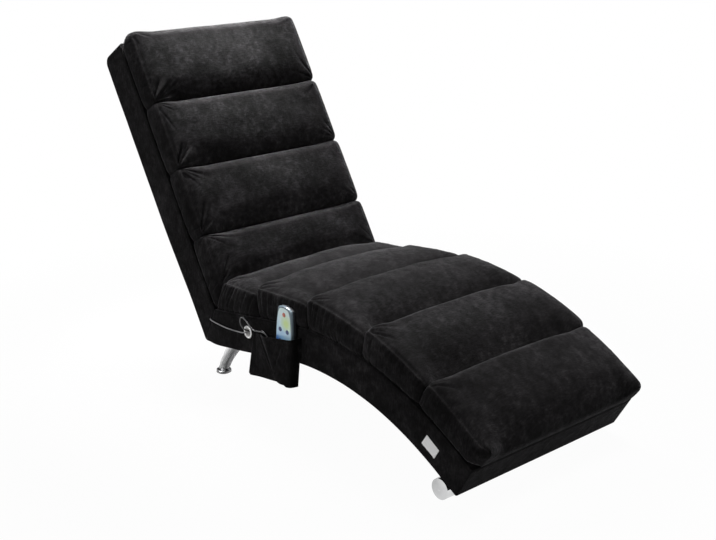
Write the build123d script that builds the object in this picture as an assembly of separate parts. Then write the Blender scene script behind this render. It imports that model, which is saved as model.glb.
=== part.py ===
from build123d import *
import os
from math import asin, atan2, cos, degrees, pi, radians, sin, sqrt, tan

# A massage lounge chair. x runs to the foot end, y to the sitter's left, z up, in millimetres.
# Pieces are laid out from the hip corner, where the seat deck meets the back deck: x = 0 there,
# y = 0 is the middle plane and z = 0 the floor. At the end the whole chair is moved in x and y,
# so that its origin lies on the floor below the middle of its box.
# "s" is a length along the seat deck from the hip corner, "u" a length up the back deck,
# and "h" a height square to the deck.

# Frame, in side view
CHAIR_WIDTH = 560.0
HIP_HEIGHT = 223.1
FRAME_DEPTH = 94.0
BACK_ANGLE = 59.5
BACK_LENGTH = 768.0
SEAT_RISE = 8.0
SEAT_FLAT = 298.0
KNEE_RADIUS = 900.0
KNEE_TURN = 38.75
FOOT_STRAIGHT = 80.0
HEEL_RADIUS = 30.0

# Boards, cover and webbing
COVER_THICKNESS = 2.0
BOARD_THICKNESS = 18.0
SEAM_GAP = 0.5
FOAM_THICKNESS = 45.0
SOFT_CLEARANCE = 0.5
WEB_THICKNESS = 3.0
WEB_WIDTH = 50.0
WEB_PITCH = 76.0
BACK_WEB_START = 70.0
SEAT_WEB_START = 60.0
CLEAT_WIDTH = 20.0
CLEAT_HEIGHT = 22.0
CLEAT_START = 36.0
MIDDLE_RAIL_WIDTH = 60.0
BACK_RAIL_PLACE = 398.0
SEAT_RAIL_PLACE = 500.0
FOOT_BOARD_LENGTH = 112.0

# Mitre rails and the bolts that join the back to the seat
MITRE_RAIL_TOP = 61.0
MITRE_RAIL_WIDTH = 35.0
BOLT_DIAMETER = 8.0
BOLT_HOLE_CLEARANCE = 0.2
BOLT_HEAD_ACROSS = 13.0
BOLT_HEAD_HEIGHT = 5.3
NUT_HEIGHT = 6.5
BOLT_TIP = 4.0
BOLT_SHARES = (-0.232, -0.08, 0.08, 0.232)

# Padded channels
BACK_CHANNELS = 4
SEAT_CHANNELS = 5
BACK_PAD_HEIGHT = 78.0
SEAT_PAD_HEIGHT = 92.0
PAD_CLEARANCE = 0.4
PAD_SIDE_INSET = 1.0
PAD_END_SHARE = 0.66
PAD_DRAW_IN = 5.0
PAD_DRAW_POWER = 8
PAD_CROWN_POWER = 6
PAD_SHOULDER = 42.0
PAD_LOW_SHARE = 0.5
PAD_HIGH_SHARE = 0.9
HEAD_OVERHANG = 16.0
TOE_OVERHANG = 3.0
OVERHANG_RISE = 0.5
PAD_STATIONS = (1.0, 0.96, 0.86, 0.5, 0.0)

# Underside
HEM_WIDTH = 60.0
DUST_OVERLAP = 15.0
DUST_THICKNESS = 1.0

# Rear legs
LEG_INSET = 75.0
LEG_PLACE = 0.0
LEG_SETBACK = 79.3
LEG_TURN = 25.0
LEG_STATIONS = (0.0, 0.25, 0.5, 0.75, 1.0, 1.15)
LEG_NECK_DIAMETER = 28.0
LEG_TOP_DIAMETER = 41.0
LEG_FOOT_DIAMETER = 42.0
LEG_FOOT_HEIGHT = 8.0
LEG_FLANGE_LENGTH = 84.0
LEG_FLANGE_WIDTH = 76.0
LEG_FLANGE_CORNER = 18.0
LEG_FLANGE_THICKNESS = 4.0
LEG_SCREW_SPACING = 60.0
LEG_SCREW_SPREAD = 54.0
FELT_DIAMETER = 38.0
FELT_THICKNESS = 2.0
LEG_BLOCK_WIDTH = 95.0
LEG_BLOCK_END = 60.0

# Front foot bar
BAR_DIAMETER = 50.0
BAR_WALL = 1.5
BAR_GAP = 0.2
BAR_CAP_THICKNESS = 4.0
BAR_CAP_DOME = 2.5
BAR_CAP_PLUG = 12.0
BAR_PROJECTION = 2.0
SADDLE_INSET = 90.0
SADDLE_WIDTH = 40.0
SADDLE_LENGTH = 70.0
SADDLE_HEIGHT = 14.0
SADDLE_SCREW_SPACING = 58.0

# Wood screws
SCREW_DIAMETER = 4.5
SCREW_HEAD_DIAMETER = 8.5
SCREW_HEAD_HEIGHT = 2.6
SCREW_BITE = 15.0
SCREW_CLEARANCE = 0.1

# Sewn tag on the side, blank
TAG_LENGTH = 46.0
TAG_HEIGHT = 29.0
TAG_THICKNESS = 0.8
TAG_PLACE = (823.3, 118.7)
TAG_SLOPE = -32.5

# Cord grommet in the seat's side and the back lead's hole in the back's side
GROMMET_PLACE = (150.2, 202.3)
GROMMET_DIAMETER = 34.0
GROMMET_BORE = 22.0
GROMMET_NECK = 26.0
GROMMET_FLANGE = 2.6
GROMMET_CLEARANCE = 0.2
LEAD_HOLE_PLACE = (-22.9, 194.6)
LEAD_DIAMETER = 3.0
LEAD_HOLE_CLEARANCE = 3.0

# Side pocket
POCKET_PLACE = (263.0, 162.3)
POCKET_SLOPE = 10.0
POCKET_SKEW = 40.0
POCKET_WIDTH = 208.0
POCKET_HEIGHT = 126.0
POCKET_CLEARANCE = 0.3
POCKET_SHEET = 1.5
POCKET_MOUTH_DEPTH = 31.0
POCKET_FLOOR_DEPTH = 28.0
POCKET_CHEEK = (0.95, 0.6)
POCKET_SHOULDER = (0.78, 0.93)

# Handset
HANDSET_PLACE = (325.0, 239.5)
HANDSET_LEAN = 4.0
HANDSET_LENGTH = 165.0
HANDSET_BOW_SHARE = 0.03
HANDSET_TOP_WIDTH = 49.0
HANDSET_WIDTH = 64.0
HANDSET_TAIL_WIDTH = 51.0
HANDSET_THICKNESS = 16.0
HANDSET_CLEARANCE = 0.4
HANDSET_WALL = 2.0
HANDSET_SPLIT = 7.0
HANDSET_EDGE_RADIUS = 3.0
HANDSET_SPOUT_DIAMETER = 7.0
HANDSET_SPOUT_LENGTH = 6.0
BOARD_PCB = 1.6
DOME_DIAMETER = 7.0
DOME_HEIGHT = 1.2
KEY_DIAMETER = 11.0
KEY_CLEARANCE = 0.3
KEY_RIM = 1.5
KEY_RIM_THICKNESS = 1.0
KEY_PROUD = 1.4
KEY_STEM_DIAMETER = 4.0
KEY_STEM_LENGTH = 2.0
KEY_TRAVEL = 0.8
KEY_SLACK = 0.2
KEY_PLACES = {
    "handset_power_key": (0.0, 62.0),
    "handset_upper_left_key": (-14.0, 20.0),
    "handset_upper_right_key": (14.0, 20.0),
    "handset_lower_left_key": (-14.0, -11.0),
    "handset_lower_right_key": (14.0, -11.0),
}

# Massage pods
POD_DIAMETER = 90.0
POD_HEIGHT = 34.0
POD_WALL = 2.5
POD_CLEARANCE = 1.0
BACK_POD_SHARES = (0.2, 0.8)
SEAT_POD_SHARES = (0.12, 0.4, 0.75)
MOTOR_DIAMETER = 24.0
MOTOR_LENGTH = 28.0
MOTOR_OFFSET = -14.0
CRADLE_THICKNESS = 3.0
SHAFT_DIAMETER = 3.0
SHAFT_CLEARANCE = 0.05
SHAFT_DEPTH = 16.0
WEIGHT_RADIUS = 12.5
WEIGHT_LENGTH = 10.0
WEIGHT_GAP = 2.0

# Wiring inside the frame
WIRE_DIAMETER = 5.0
LEAD_REACH = 18
WIRE_DEPTH = 60.0

# Power inlet on the underside
INLET_PLACE = -100.0
INLET_BODY = 12.0
INLET_FLANGE = 18.0
INLET_FLANGE_THICKNESS = 2.0
INLET_LENGTH = 26.0
INLET_BORE = 5.6
INLET_BORE_DEPTH = 10.0
INLET_PIN = 2.0

# Free cords. The points are (x, y, z) from the hip corner, the middle plane and the floor.
CORD_NODES = ("back_lead", "handset_cord", "handset_cord_coil")
CORD_DIAMETER = 4.0
ARC_SHARE = 0.45
BACK_LEAD_ROUTE = [
    (-22.9, -262.0, 194.6),
    (-22.9, -278.5, 194.6),
    (-15.0, -285.0, 193.2),
    (8.0, -283.6, 190.2),
    (36.0, -283.2, 188.8),
    (68.0, -283.6, 189.6),
    (98.0, -284.4, 192.6),
    (122.0, -287.4, 196.4),
    (138.0, -288.4, 198.8),
    (145.2, -281.0, 200.2),
    (145.8, -268.0, 200.4),
]
HANDSET_CORD_ROUTE = [
    (153.5, -266.0, 206.2),
    (153.5, -280.0, 206.2),
    (151.0, -291.5, 212.5),
    (143.0, -295.5, 224.5),
    (138.0, -296.5, 237.5),
    (141.5, -297.0, 250.5),
    (153.5, -297.0, 256.0),
    (166.0, -297.0, 250.0),
    (177.0, -297.0, 240.0),
    (188.5, -297.0, 230.5),
    (201.5, -297.0, 225.5),
    (215.0, -297.0, 226.5),
    (230.0, -297.3, 229.5),
    (243.5, -297.5, 225.0),
    (251.5, -298.5, 212.0),
    (256.0, -299.5, 197.0),
    (260.0, -300.0, 182.0),
    (264.5, -300.5, 168.0),
    (270.0, -300.5, 157.0),
    (276.0, -300.5, 148.5),
    (276.0, -300.5, 138.8),
]
COIL_PLACE = (296.0, 130.5)
COIL_RADIUS = 20.0
COIL_TURNS = 2.5
COIL_PITCH = 4.8
COIL_CORNERS = 8
TAIL_STRAIGHT = 5.0


def unit(angle):
    """A unit vector in side view, at an angle above the x axis."""
    return Vector(cos(radians(angle)), 0, sin(radians(angle)))


HIP = Vector(0, 0, HIP_HEIGHT)
KNEE_LENGTH = KNEE_RADIUS * radians(KNEE_TURN)
SEAT_LENGTH = SEAT_FLAT + KNEE_LENGTH + FOOT_STRAIGHT
HALF_HIP_ANGLE = (180 - BACK_ANGLE - SEAT_RISE) / 2
HALF_WIDTH = CHAIR_WIDTH / 2
LEG_SPREAD = HALF_WIDTH - LEG_INSET
SADDLE_SPREAD = HALF_WIDTH - SADDLE_INSET
PANEL_FACE = HALF_WIDTH - COVER_THICKNESS
INNER_FACE = PANEL_FACE - BOARD_THICKNESS
CLEAT_TOP = FOAM_THICKNESS + WEB_THICKNESS
CLEAT_BOTTOM = CLEAT_TOP + CLEAT_HEIGHT
FLOOR_OF_FRAME = FRAME_DEPTH - COVER_THICKNESS


def seat_slope(s):
    """Slope of the seat deck at s, in degrees above the x axis."""
    turned = min(max(s - SEAT_FLAT, 0), KNEE_LENGTH)
    return SEAT_RISE - degrees(turned / KNEE_RADIUS)


def seat_point(s, h, y=0.0):
    """The point at s along the seat deck and h above it: flat, then a convex arc, then straight."""
    point = HIP + unit(SEAT_RISE) * min(s, SEAT_FLAT)
    if s > SEAT_FLAT:
        point += (unit(seat_slope(s) + 90) - unit(SEAT_RISE + 90)) * KNEE_RADIUS
    if s > SEAT_FLAT + KNEE_LENGTH:
        point += unit(seat_slope(s)) * (s - SEAT_FLAT - KNEE_LENGTH)
    return point + unit(seat_slope(s) + 90) * h + Vector(0, y, 0)


def back_point(u, h, y=0.0):
    """The point at u up the back deck and h in front of it."""
    return HIP - unit(-BACK_ANGLE) * u + unit(90 - BACK_ANGLE) * h + Vector(0, y, 0)


def seat_plane(s, h, y=0.0):
    """A plane on the seat deck: its x along the deck, its y across the chair, its z off the deck."""
    return Plane(seat_point(s, h, y), x_dir=unit(seat_slope(s)), z_dir=unit(seat_slope(s) + 90))


def back_plane(u, h, y=0.0):
    """The same kind of plane on the back deck."""
    return Plane(back_point(u, h, y), x_dir=unit(-BACK_ANGLE), z_dir=unit(90 - BACK_ANGLE))


def mitre(h, gap=SEAM_GAP):
    """Where the mitre between back and seat lies at height h, along either deck."""
    half = radians(HALF_HIP_ANGLE)
    return h / tan(half) + gap / sin(half)


def along(point, start, end, h, y):
    """Edges that follow a deck from start to end at height h: lines, and an arc at the knee."""
    bends = (SEAT_FLAT, SEAT_FLAT + KNEE_LENGTH) if point is seat_point else ()
    stops = [start] + [bend for bend in bends if start < bend < end] + [end]
    edges = []
    for a, b in zip(stops, stops[1:]):
        middle = (a + b) / 2
        if bends and bends[0] < middle < bends[1]:
            ends = (point(a, h, y), point(middle, h, y), point(b, h, y))
            edges.append(Edge.make_three_point_arc(*ends))
        else:
            edges.append(Edge.make_line(point(a, h, y), point(b, h, y)))
    return edges


def prism(edges, width):
    """A closed outline in side view, drawn out along y."""
    return extrude(Face(Wire(edges)), amount=width, dir=(0, 1, 0))


def slab(point, start, end, low, high, right, left):
    """A board that follows a deck. A start of None is the mitre."""
    start_low = mitre(low) if start is None else start
    start_high = mitre(high) if start is None else start
    edges = along(point, start_low, end, low, right)
    edges.append(Edge.make_line(point(end, low, right), point(end, high, right)))
    edges += along(point, start_high, end, high, right)
    edges.append(Edge.make_line(point(start_high, high, right), point(start_low, low, right)))
    return prism(edges, left - right)


def side_outline(point, length, inset, y):
    """Outline of a module in side view, with half of the rounded heel where the modules meet."""
    radius = HEEL_RADIUS - inset
    bottom = -FRAME_DEPTH + inset
    centre_h = -FRAME_DEPTH + HEEL_RADIUS
    centre = mitre(centre_h)
    half_arc = (90 - HALF_HIP_ANGLE) / 2

    def on_heel(angle):
        turn = radians(angle)
        return point(centre - radius * sin(turn), centre_h - radius * cos(turn), y)

    edges = along(point, mitre(0), length - inset, 0, y)
    edges.append(Edge.make_line(point(length - inset, 0, y), point(length - inset, bottom, y)))
    edges += along(point, centre, length - inset, bottom, y)
    edges.append(Edge.make_three_point_arc(on_heel(0), on_heel(half_arc), on_heel(2 * half_arc)))
    edges.append(Edge.make_line(on_heel(2 * half_arc), point(mitre(0), 0, y)))
    return edges


def side_panel(point, length, side):
    """A plywood side of a module. The side is -1 on the sitter's right and 1 on the left."""
    right = INNER_FACE if side > 0 else -PANEL_FACE
    return prism(side_outline(point, length, COVER_THICKNESS, right), BOARD_THICKNESS)


def cover_tray(point, length):
    """The fabric round a module: two sides, the underside and the end, open to the deck."""
    outer = prism(side_outline(point, length, 0, -HALF_WIDTH), CHAIR_WIDTH)
    inner = prism(side_outline(point, length, COVER_THICKNESS, -PANEL_FACE), 2 * PANEL_FACE)
    return outer - inner


def side_hole(place, diameter, deep=60.0):
    """A cylinder across the sitter's right side, at an (x, z) place."""
    plane = Plane((place[0], -HALF_WIDTH - deep / 2, place[1]), x_dir=(1, 0, 0), z_dir=(0, 1, 0))
    return plane * Cylinder(diameter / 2, deep, align=(Align.CENTER, Align.CENTER, Align.MIN))


def mitre_point(down, across, y=0.0):
    """A point down the mitre from the hip corner, and across it towards the seat."""
    bisector = SEAT_RISE + HALF_HIP_ANGLE
    return HIP - unit(bisector) * down + unit(bisector - 90) * across + Vector(0, y, 0)


def mitre_rail(side):
    """The rail along the mitre of a module. The side is 1 for the seat and -1 for the back."""
    near = side * SEAM_GAP
    far = side * (SEAM_GAP + BOARD_THICKNESS)
    low = MITRE_RAIL_TOP + MITRE_RAIL_WIDTH
    corners = [(MITRE_RAIL_TOP, near), (MITRE_RAIL_TOP, far), (low, far), (low, near)]
    points = [mitre_point(down, across, -INNER_FACE) for down, across in corners]
    return prism(loop(points), 2 * INNER_FACE)


def loop(points):
    """Straight edges round a list of points."""
    return [Edge.make_line(a, b) for a, b in zip(points, points[1:] + points[:1])]


def bolt_plane(y):
    """A plane on the seat rail's front face at a joint bolt, its z along the bolt to the front."""
    middle = MITRE_RAIL_TOP + MITRE_RAIL_WIDTH / 2
    origin = mitre_point(middle, SEAM_GAP + BOARD_THICKNESS, y)
    return Plane(origin, x_dir=(0, 1, 0), z_dir=unit(SEAT_RISE + HALF_HIP_ANGLE - 90))


BOLT_GRIP = 2 * (BOARD_THICKNESS + SEAM_GAP)


def bolt_places():
    """Where the joint bolts are across the chair."""
    return [share * CHAIR_WIDTH for share in BOLT_SHARES]


def joint_bolt(y):
    """A hexagon bolt through both mitre rails, its head on the seat's side."""
    length = BOLT_GRIP + NUT_HEIGHT + BOLT_TIP
    shank = Cylinder(BOLT_DIAMETER / 2, length, align=(Align.CENTER, Align.CENTER, Align.MAX))
    head = extrude(hexagon(BOLT_HEAD_ACROSS), amount=BOLT_HEAD_HEIGHT)
    return bolt_plane(y) * (shank + head)


def hexagon(across):
    """A hexagon by its width across the flats."""
    return RegularPolygon(across / 2, 6, major_radius=False)


def joint_nut(y):
    """The nut of a joint bolt, on the back's side."""
    nut = extrude(hexagon(BOLT_HEAD_ACROSS) - Circle(BOLT_DIAMETER / 2 + SCREW_CLEARANCE), amount=-NUT_HEIGHT)
    return bolt_plane(y) * Pos(0, 0, -BOLT_GRIP) * nut


def bolt_holes():
    """The holes for the joint bolts through both mitre rails."""
    radius = (BOLT_DIAMETER + BOLT_HOLE_CLEARANCE) / 2
    hole = Cylinder(radius, 2 * BOLT_GRIP)
    return [bolt_plane(y) * hole for y in bolt_places()]


def wood_screw(plane, grip):
    """A screw whose head lies under the plane, and which goes up through grip into the wood."""
    length = grip + SCREW_BITE
    shank = Cylinder(SCREW_DIAMETER / 2, length, align=(Align.CENTER, Align.CENTER, Align.MIN))
    head = Cylinder(SCREW_HEAD_DIAMETER / 2, SCREW_HEAD_HEIGHT, align=(Align.CENTER, Align.CENTER, Align.MAX))
    return plane * (shank + head)


def screw_hole(plane, grip):
    """The hole that takes such a screw, with a little room at its tip."""
    radius = SCREW_DIAMETER / 2 + SCREW_CLEARANCE
    length = grip + SCREW_BITE + SCREW_CLEARANCE
    return plane * Cylinder(radius, length, align=(Align.CENTER, Align.CENTER, Align.MIN))


def pad(point, height, start_side, end_side):
    """A padded channel across the chair: crowned, with rounded shoulders and drawn-in ends."""
    half = HALF_WIDTH - PAD_SIDE_INSET
    reach = [-share for share in PAD_STATIONS] + [share for share in reversed(PAD_STATIONS[:-1])]
    sections = [pad_section(point, share, half, height, start_side, end_side) for share in reach]
    return Solid.make_loft(sections, ruled=True)


def pad_section(point, share, half, height, start_side, end_side):
    """One closed section of a padded channel, square to y."""
    fullness = PAD_END_SHARE + (1 - PAD_END_SHARE) * sqrt(1 - share**PAD_CROWN_POWER)
    draw = PAD_DRAW_IN * share**PAD_DRAW_POWER
    crown = height * fullness
    low = PAD_LOW_SHARE * crown
    high = PAD_HIGH_SHARE * crown
    y = share * half

    def left(h, inward=0.0):
        return start_side(h) + draw + inward

    def right(h, inward=0.0):
        return end_side(h) - draw - inward

    def shoulder(edge, h_share, inward):
        h = low + h_share * (high - low)
        return point(edge(h, inward), h, y)

    bend = (0.0, (1 - cos(pi / 4)) * PAD_SHOULDER, PAD_SHOULDER)
    rise = (0.0, sin(pi / 4), 1.0)
    left_arc = [shoulder(left, r, b) for r, b in zip(rise, bend)]
    right_arc = [shoulder(right, r, b) for r, b in zip(rise, bend)]
    middle = (left(high) + right(high)) / 2
    edges = along(point, left(PAD_CLEARANCE), right(PAD_CLEARANCE), PAD_CLEARANCE, y)
    edges.append(Edge.make_line(point(right(PAD_CLEARANCE), PAD_CLEARANCE, y), right_arc[0]))
    edges.append(Edge.make_three_point_arc(*right_arc))
    edges.append(Edge.make_three_point_arc(right_arc[2], point(middle, crown, y), left_arc[2]))
    edges.append(Edge.make_three_point_arc(*reversed(left_arc)))
    edges.append(Edge.make_line(left_arc[0], point(left(PAD_CLEARANCE), PAD_CLEARANCE, y)))
    return Wire(edges)


def upright(place):
    """A side of a channel that stands square to the deck."""
    return lambda h: place


def overhanging(place, overhang, height):
    """A side of a channel that leans out past the end of the frame."""
    return lambda h: place + overhang * min(h / (OVERHANG_RISE * height), 1.0)


def back_pad(index):
    """A channel of the back, counted up from the hip."""
    pitch = BACK_LENGTH / BACK_CHANNELS
    last = index == BACK_CHANNELS - 1
    start = mitre if index == 0 else upright(index * pitch + PAD_CLEARANCE)
    end = upright((index + 1) * pitch - PAD_CLEARANCE)
    if last:
        end = overhanging(BACK_LENGTH, HEAD_OVERHANG, BACK_PAD_HEIGHT)
    return pad(back_point, BACK_PAD_HEIGHT, start, end)


def seat_pad(index):
    """A channel of the seat, counted from the hip to the foot."""
    pitch = SEAT_LENGTH / SEAT_CHANNELS
    last = index == SEAT_CHANNELS - 1
    start = mitre if index == 0 else upright(index * pitch + PAD_CLEARANCE)
    end = upright((index + 1) * pitch - PAD_CLEARANCE)
    if last:
        end = overhanging(SEAT_LENGTH, TOE_OVERHANG, SEAT_PAD_HEIGHT)
    return pad(seat_point, SEAT_PAD_HEIGHT, start, end)


def web_strap(point, start):
    """A webbing strap across the frame, on the cleats."""
    return slab(point, start, start + WEB_WIDTH, -CLEAT_TOP, -FOAM_THICKNESS, -INNER_FACE, INNER_FACE)


def cleats(point, end):
    """The two strips on the panels' inner faces that carry the webbing."""
    strips = []
    for right in (-INNER_FACE, INNER_FACE - CLEAT_WIDTH):
        strips.append(slab(point, CLEAT_START, end, -CLEAT_BOTTOM, -CLEAT_TOP, right, right + CLEAT_WIDTH))
    return strips


def web_places(start, length):
    """Where the webbing straps of a module start, from the first to the end board."""
    room = length - COVER_THICKNESS - BOARD_THICKNESS - SOFT_CLEARANCE - WEB_WIDTH - start
    return [start + WEB_PITCH * number for number in range(int(room / WEB_PITCH) + 1)]


def pod_places(start, length, shares):
    """Where the massage pods of a module are, each over a gap between two straps."""
    straps = web_places(start, length)
    half_gap = (WEB_PITCH + WEB_WIDTH) / 2
    return [straps[int(share * (len(straps) - 1))] + half_gap for share in shares]


BACK_PODS = pod_places(BACK_WEB_START, BACK_LENGTH, BACK_POD_SHARES)
SEAT_PODS = pod_places(SEAT_WEB_START, SEAT_LENGTH, SEAT_POD_SHARES)


def pod_planes():
    """Planes at the massage pods' floors: two in the back, three in the seat."""
    floor = -FOAM_THICKNESS + SOFT_CLEARANCE
    return [back_plane(u, floor) for u in BACK_PODS] + [seat_plane(s, floor) for s in SEAT_PODS]


def foam(point, length):
    """The foam slab of a module, with wells for the massage pods."""
    end = length - COVER_THICKNESS - BOARD_THICKNESS - SOFT_CLEARANCE
    side = INNER_FACE - SOFT_CLEARANCE
    body = slab(point, None, end, -FOAM_THICKNESS + SOFT_CLEARANCE, -SOFT_CLEARANCE, -side, side)
    well = Cylinder(POD_DIAMETER / 2 + POD_CLEARANCE, POD_HEIGHT + POD_CLEARANCE,
                    align=(Align.CENTER, Align.CENTER, Align.MIN))
    return body - [plane * well for plane in pod_planes()]


def at_axis(shape):
    """Lay a piece that was made along z along the motor's axis, across the pod."""
    return Pos(0, 0, POD_HEIGHT / 2) * Rot(-90, 0, 0) * shape


def pod_case():
    """A round cup for a massage motor, with two cradle ribs on its floor."""
    outer = Cylinder(POD_DIAMETER / 2, POD_HEIGHT - POD_WALL, align=(Align.CENTER, Align.CENTER, Align.MIN))
    room = Cylinder(POD_DIAMETER / 2 - POD_WALL, POD_HEIGHT, align=(Align.CENTER, Align.CENTER, Align.MIN))
    case = outer - Pos(0, 0, POD_WALL) * room
    rib = Box(MOTOR_DIAMETER, CRADLE_THICKNESS, POD_HEIGHT / 2, align=(Align.CENTER, Align.CENTER, Align.MIN))
    middle = MOTOR_OFFSET + MOTOR_LENGTH / 2
    spread = MOTOR_LENGTH / 2 - CRADLE_THICKNESS
    ribs = [Pos(0, middle + side * spread, 0) * rib for side in (-1, 1)]
    seat = at_axis(Cylinder(MOTOR_DIAMETER / 2, 2 * POD_DIAMETER))
    return case + [one - seat for one in ribs]


def pod_lid():
    """The lid of a massage pod, with a bevelled rim."""
    lid = Cylinder(POD_DIAMETER / 2, POD_WALL, align=(Align.CENTER, Align.CENTER, Align.MIN))
    lid = chamfer(lid.edges().group_by(Axis.Z)[-1], POD_WALL / 2)
    return Pos(0, 0, POD_HEIGHT - POD_WALL) * lid


def motor():
    """A small motor with a blind bore for its shaft in the end towards the weight."""
    body = Cylinder(MOTOR_DIAMETER / 2, MOTOR_LENGTH, align=(Align.CENTER, Align.CENTER, Align.MIN))
    bore_radius = SHAFT_DIAMETER / 2 + SHAFT_CLEARANCE
    bore = Cylinder(bore_radius, SHAFT_DEPTH, align=(Align.CENTER, Align.CENTER, Align.MAX))
    body -= Pos(0, 0, MOTOR_LENGTH) * bore
    return at_axis(Pos(0, 0, MOTOR_OFFSET) * body)


def rotor():
    """The motor's shaft with an eccentric half-round weight."""
    front = MOTOR_OFFSET + MOTOR_LENGTH
    inside = SHAFT_DEPTH - WEIGHT_GAP
    length = inside + WEIGHT_GAP + WEIGHT_LENGTH
    shaft = Cylinder(SHAFT_DIAMETER / 2, length, align=(Align.CENTER, Align.CENTER, Align.MIN))
    weight = Cylinder(WEIGHT_RADIUS, WEIGHT_LENGTH, arc_size=180, align=(Align.NONE, Align.NONE, Align.MIN))
    hub = Cylinder(SHAFT_DIAMETER, WEIGHT_LENGTH, align=(Align.CENTER, Align.CENTER, Align.MIN))
    turning = Pos(0, 0, front - inside) * shaft + Pos(0, 0, front + WEIGHT_GAP) * (weight + hub)
    return at_axis(turning)


def route_path(points):
    """A route's runs joined by tangent arcs, each as large as its two runs allow."""
    spots = [Vector(point) for point in points]
    radii = []
    for before, here, after in zip(spots, spots[1:], spots[2:]):
        turn = radians((here - before).get_angle(after - here))
        run = min((here - before).length, (after - here).length)
        radii.append(ARC_SHARE * run / tan(turn / 2))
    return FilletPolyline(*spots, radius=radii), radii


def tube(points, diameter, name):
    """A cord's tube along its route. Prints its length, its tightest bend and its volume check."""
    path, radii = route_path(points)
    solid = sweep(path_circle(path, diameter), path=path)
    share = solid.volume / (pi * diameter**2 / 4 * path.length)
    rounded = [round(radius, 1) for radius in radii]
    print(f"{name}: length {path.length:.1f} mm, radii {rounded}, volume {share:.4f}")
    return solid


def path_circle(path, diameter):
    """A round section square to the start of a path."""
    return Plane(path @ 0, z_dir=path % 0) * Circle(diameter / 2)


def coil_points():
    """Corners of the coil at the bottom of the pocket, whose turns climb steadily towards the chair."""
    half_step = pi / COIL_CORNERS
    count = round(COIL_CORNERS * COIL_TURNS)
    lead = COIL_RADIUS * tan(half_step)
    start_y = HANDSET_CORD_ROUTE[-1][1]
    end_y = start_y + COIL_PITCH * COIL_TURNS
    points = [HANDSET_CORD_ROUTE[-1]]
    for corner in range(count):
        angle = pi + half_step * (2 * corner + 1)
        reach = COIL_RADIUS / cos(half_step)
        y = start_y + COIL_PITCH * (corner + 0.5) / COIL_CORNERS
        points.append((COIL_PLACE[0] + reach * cos(angle), y, COIL_PLACE[1] + reach * sin(angle)))
    return points + [(COIL_PLACE[0] + COIL_RADIUS, end_y, COIL_PLACE[1] + lead)]


def tail_points():
    """The cord's last two points, straight into the handset's spout."""
    depth = HANDSET_THICKNESS - HANDSET_SPLIT
    tip = -HANDSET_LENGTH / 2 - HANDSET_SPOUT_LENGTH
    plane = handset_plane()
    spots = [(0, tip - TAIL_STRAIGHT, depth / 2), (0, tip, depth / 2)]
    return [plane.from_local_coords(spot) for spot in spots]


def least_gap(points, diameter):
    """The least gap between turns of a coil, measured on points along its route."""
    path = route_path(points)[0]
    count = 40 * round(COIL_TURNS)
    spots = [path @ (step / count) for step in range(count + 1)]
    apart = round(0.5 * pi * COIL_RADIUS / (path.length / count))
    pairs = [(a - b).length for i, a in enumerate(spots) for b in spots[i + apart:]]
    return min(pairs) - diameter


def pocket_plane():
    """A plane on the pocket's back sheet: x along the mouth, y up to it, z out from the chair."""
    origin = (POCKET_PLACE[0], -HALF_WIDTH - POCKET_CLEARANCE, POCKET_PLACE[1])
    return Plane(origin, x_dir=unit(POCKET_SLOPE), z_dir=(0, -1, 0))


def pocket_section(level, depth, sheet):
    """A section of the pocket: a flat back and a full front, drawn to a seam at each side."""
    half = POCKET_WIDTH / 2 - 1.5 * sheet
    front = depth - sheet
    cheek = POCKET_CHEEK[0]
    cheek_depth = sheet + POCKET_CHEEK[1] * (front - sheet)
    turn = POCKET_SHOULDER[0]
    turn_depth = sheet + POCKET_SHOULDER[1] * (front - sheet)
    middle = POCKET_SKEW * level / POCKET_HEIGHT

    def spot(share, z):
        return Vector(middle + share * half, level, z)

    edges = [
        Edge.make_line(spot(-1, sheet), spot(1, sheet)),
        Edge.make_three_point_arc(spot(1, sheet), spot(cheek, cheek_depth), spot(turn, turn_depth)),
        Edge.make_three_point_arc(spot(turn, turn_depth), spot(0, front), spot(-turn, turn_depth)),
        Edge.make_three_point_arc(spot(-turn, turn_depth), spot(-cheek, cheek_depth), spot(-1, sheet)),
    ]
    return Wire(edges)


def side_pocket():
    """The fabric pocket on the seat's side, open at its mouth."""
    half = POCKET_HEIGHT / 2
    floor = pocket_section(-half, POCKET_FLOOR_DEPTH, 0)
    mouth = pocket_section(half, POCKET_MOUTH_DEPTH, 0)
    inner_floor = pocket_section(-half + POCKET_SHEET, POCKET_FLOOR_DEPTH, POCKET_SHEET)
    inner_mouth = pocket_section(half + POCKET_SHEET, POCKET_MOUTH_DEPTH, POCKET_SHEET)
    bag = Solid.make_loft([floor, mouth], True) - Solid.make_loft([inner_floor, inner_mouth], True)
    return pocket_plane() * bag


def handset_plane():
    """A plane on the handset's back: x across it, y up it, z out from the chair."""
    back = -HALF_WIDTH - POCKET_CLEARANCE - POCKET_SHEET - HANDSET_CLEARANCE
    return Plane((HANDSET_PLACE[0], back, HANDSET_PLACE[1]), x_dir=unit(-HANDSET_LEAN), z_dir=(0, -1, 0))


def handset_outline(inset):
    """The handset's outline: widest at the middle, with bowed sides and rounded ends."""
    half = HANDSET_LENGTH / 2 - inset
    bow = HANDSET_BOW_SHARE * HANDSET_LENGTH
    top = HANDSET_TOP_WIDTH / 2 - inset
    tail = HANDSET_TAIL_WIDTH / 2 - inset
    side = HANDSET_WIDTH / 2 - inset
    edges = [
        ThreePointArc((-top, half - bow), (0, half), (top, half - bow)),
        ThreePointArc((top, half - bow), (side, 0), (tail, -half + bow)),
        ThreePointArc((tail, -half + bow), (0, -half), (-tail, -half + bow)),
        ThreePointArc((-tail, -half + bow), (-side, 0), (-top, half - bow)),
    ]
    outline = make_face(Curve() + edges)
    return fillet(outline.vertices(), 2 * HANDSET_EDGE_RADIUS)


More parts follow.
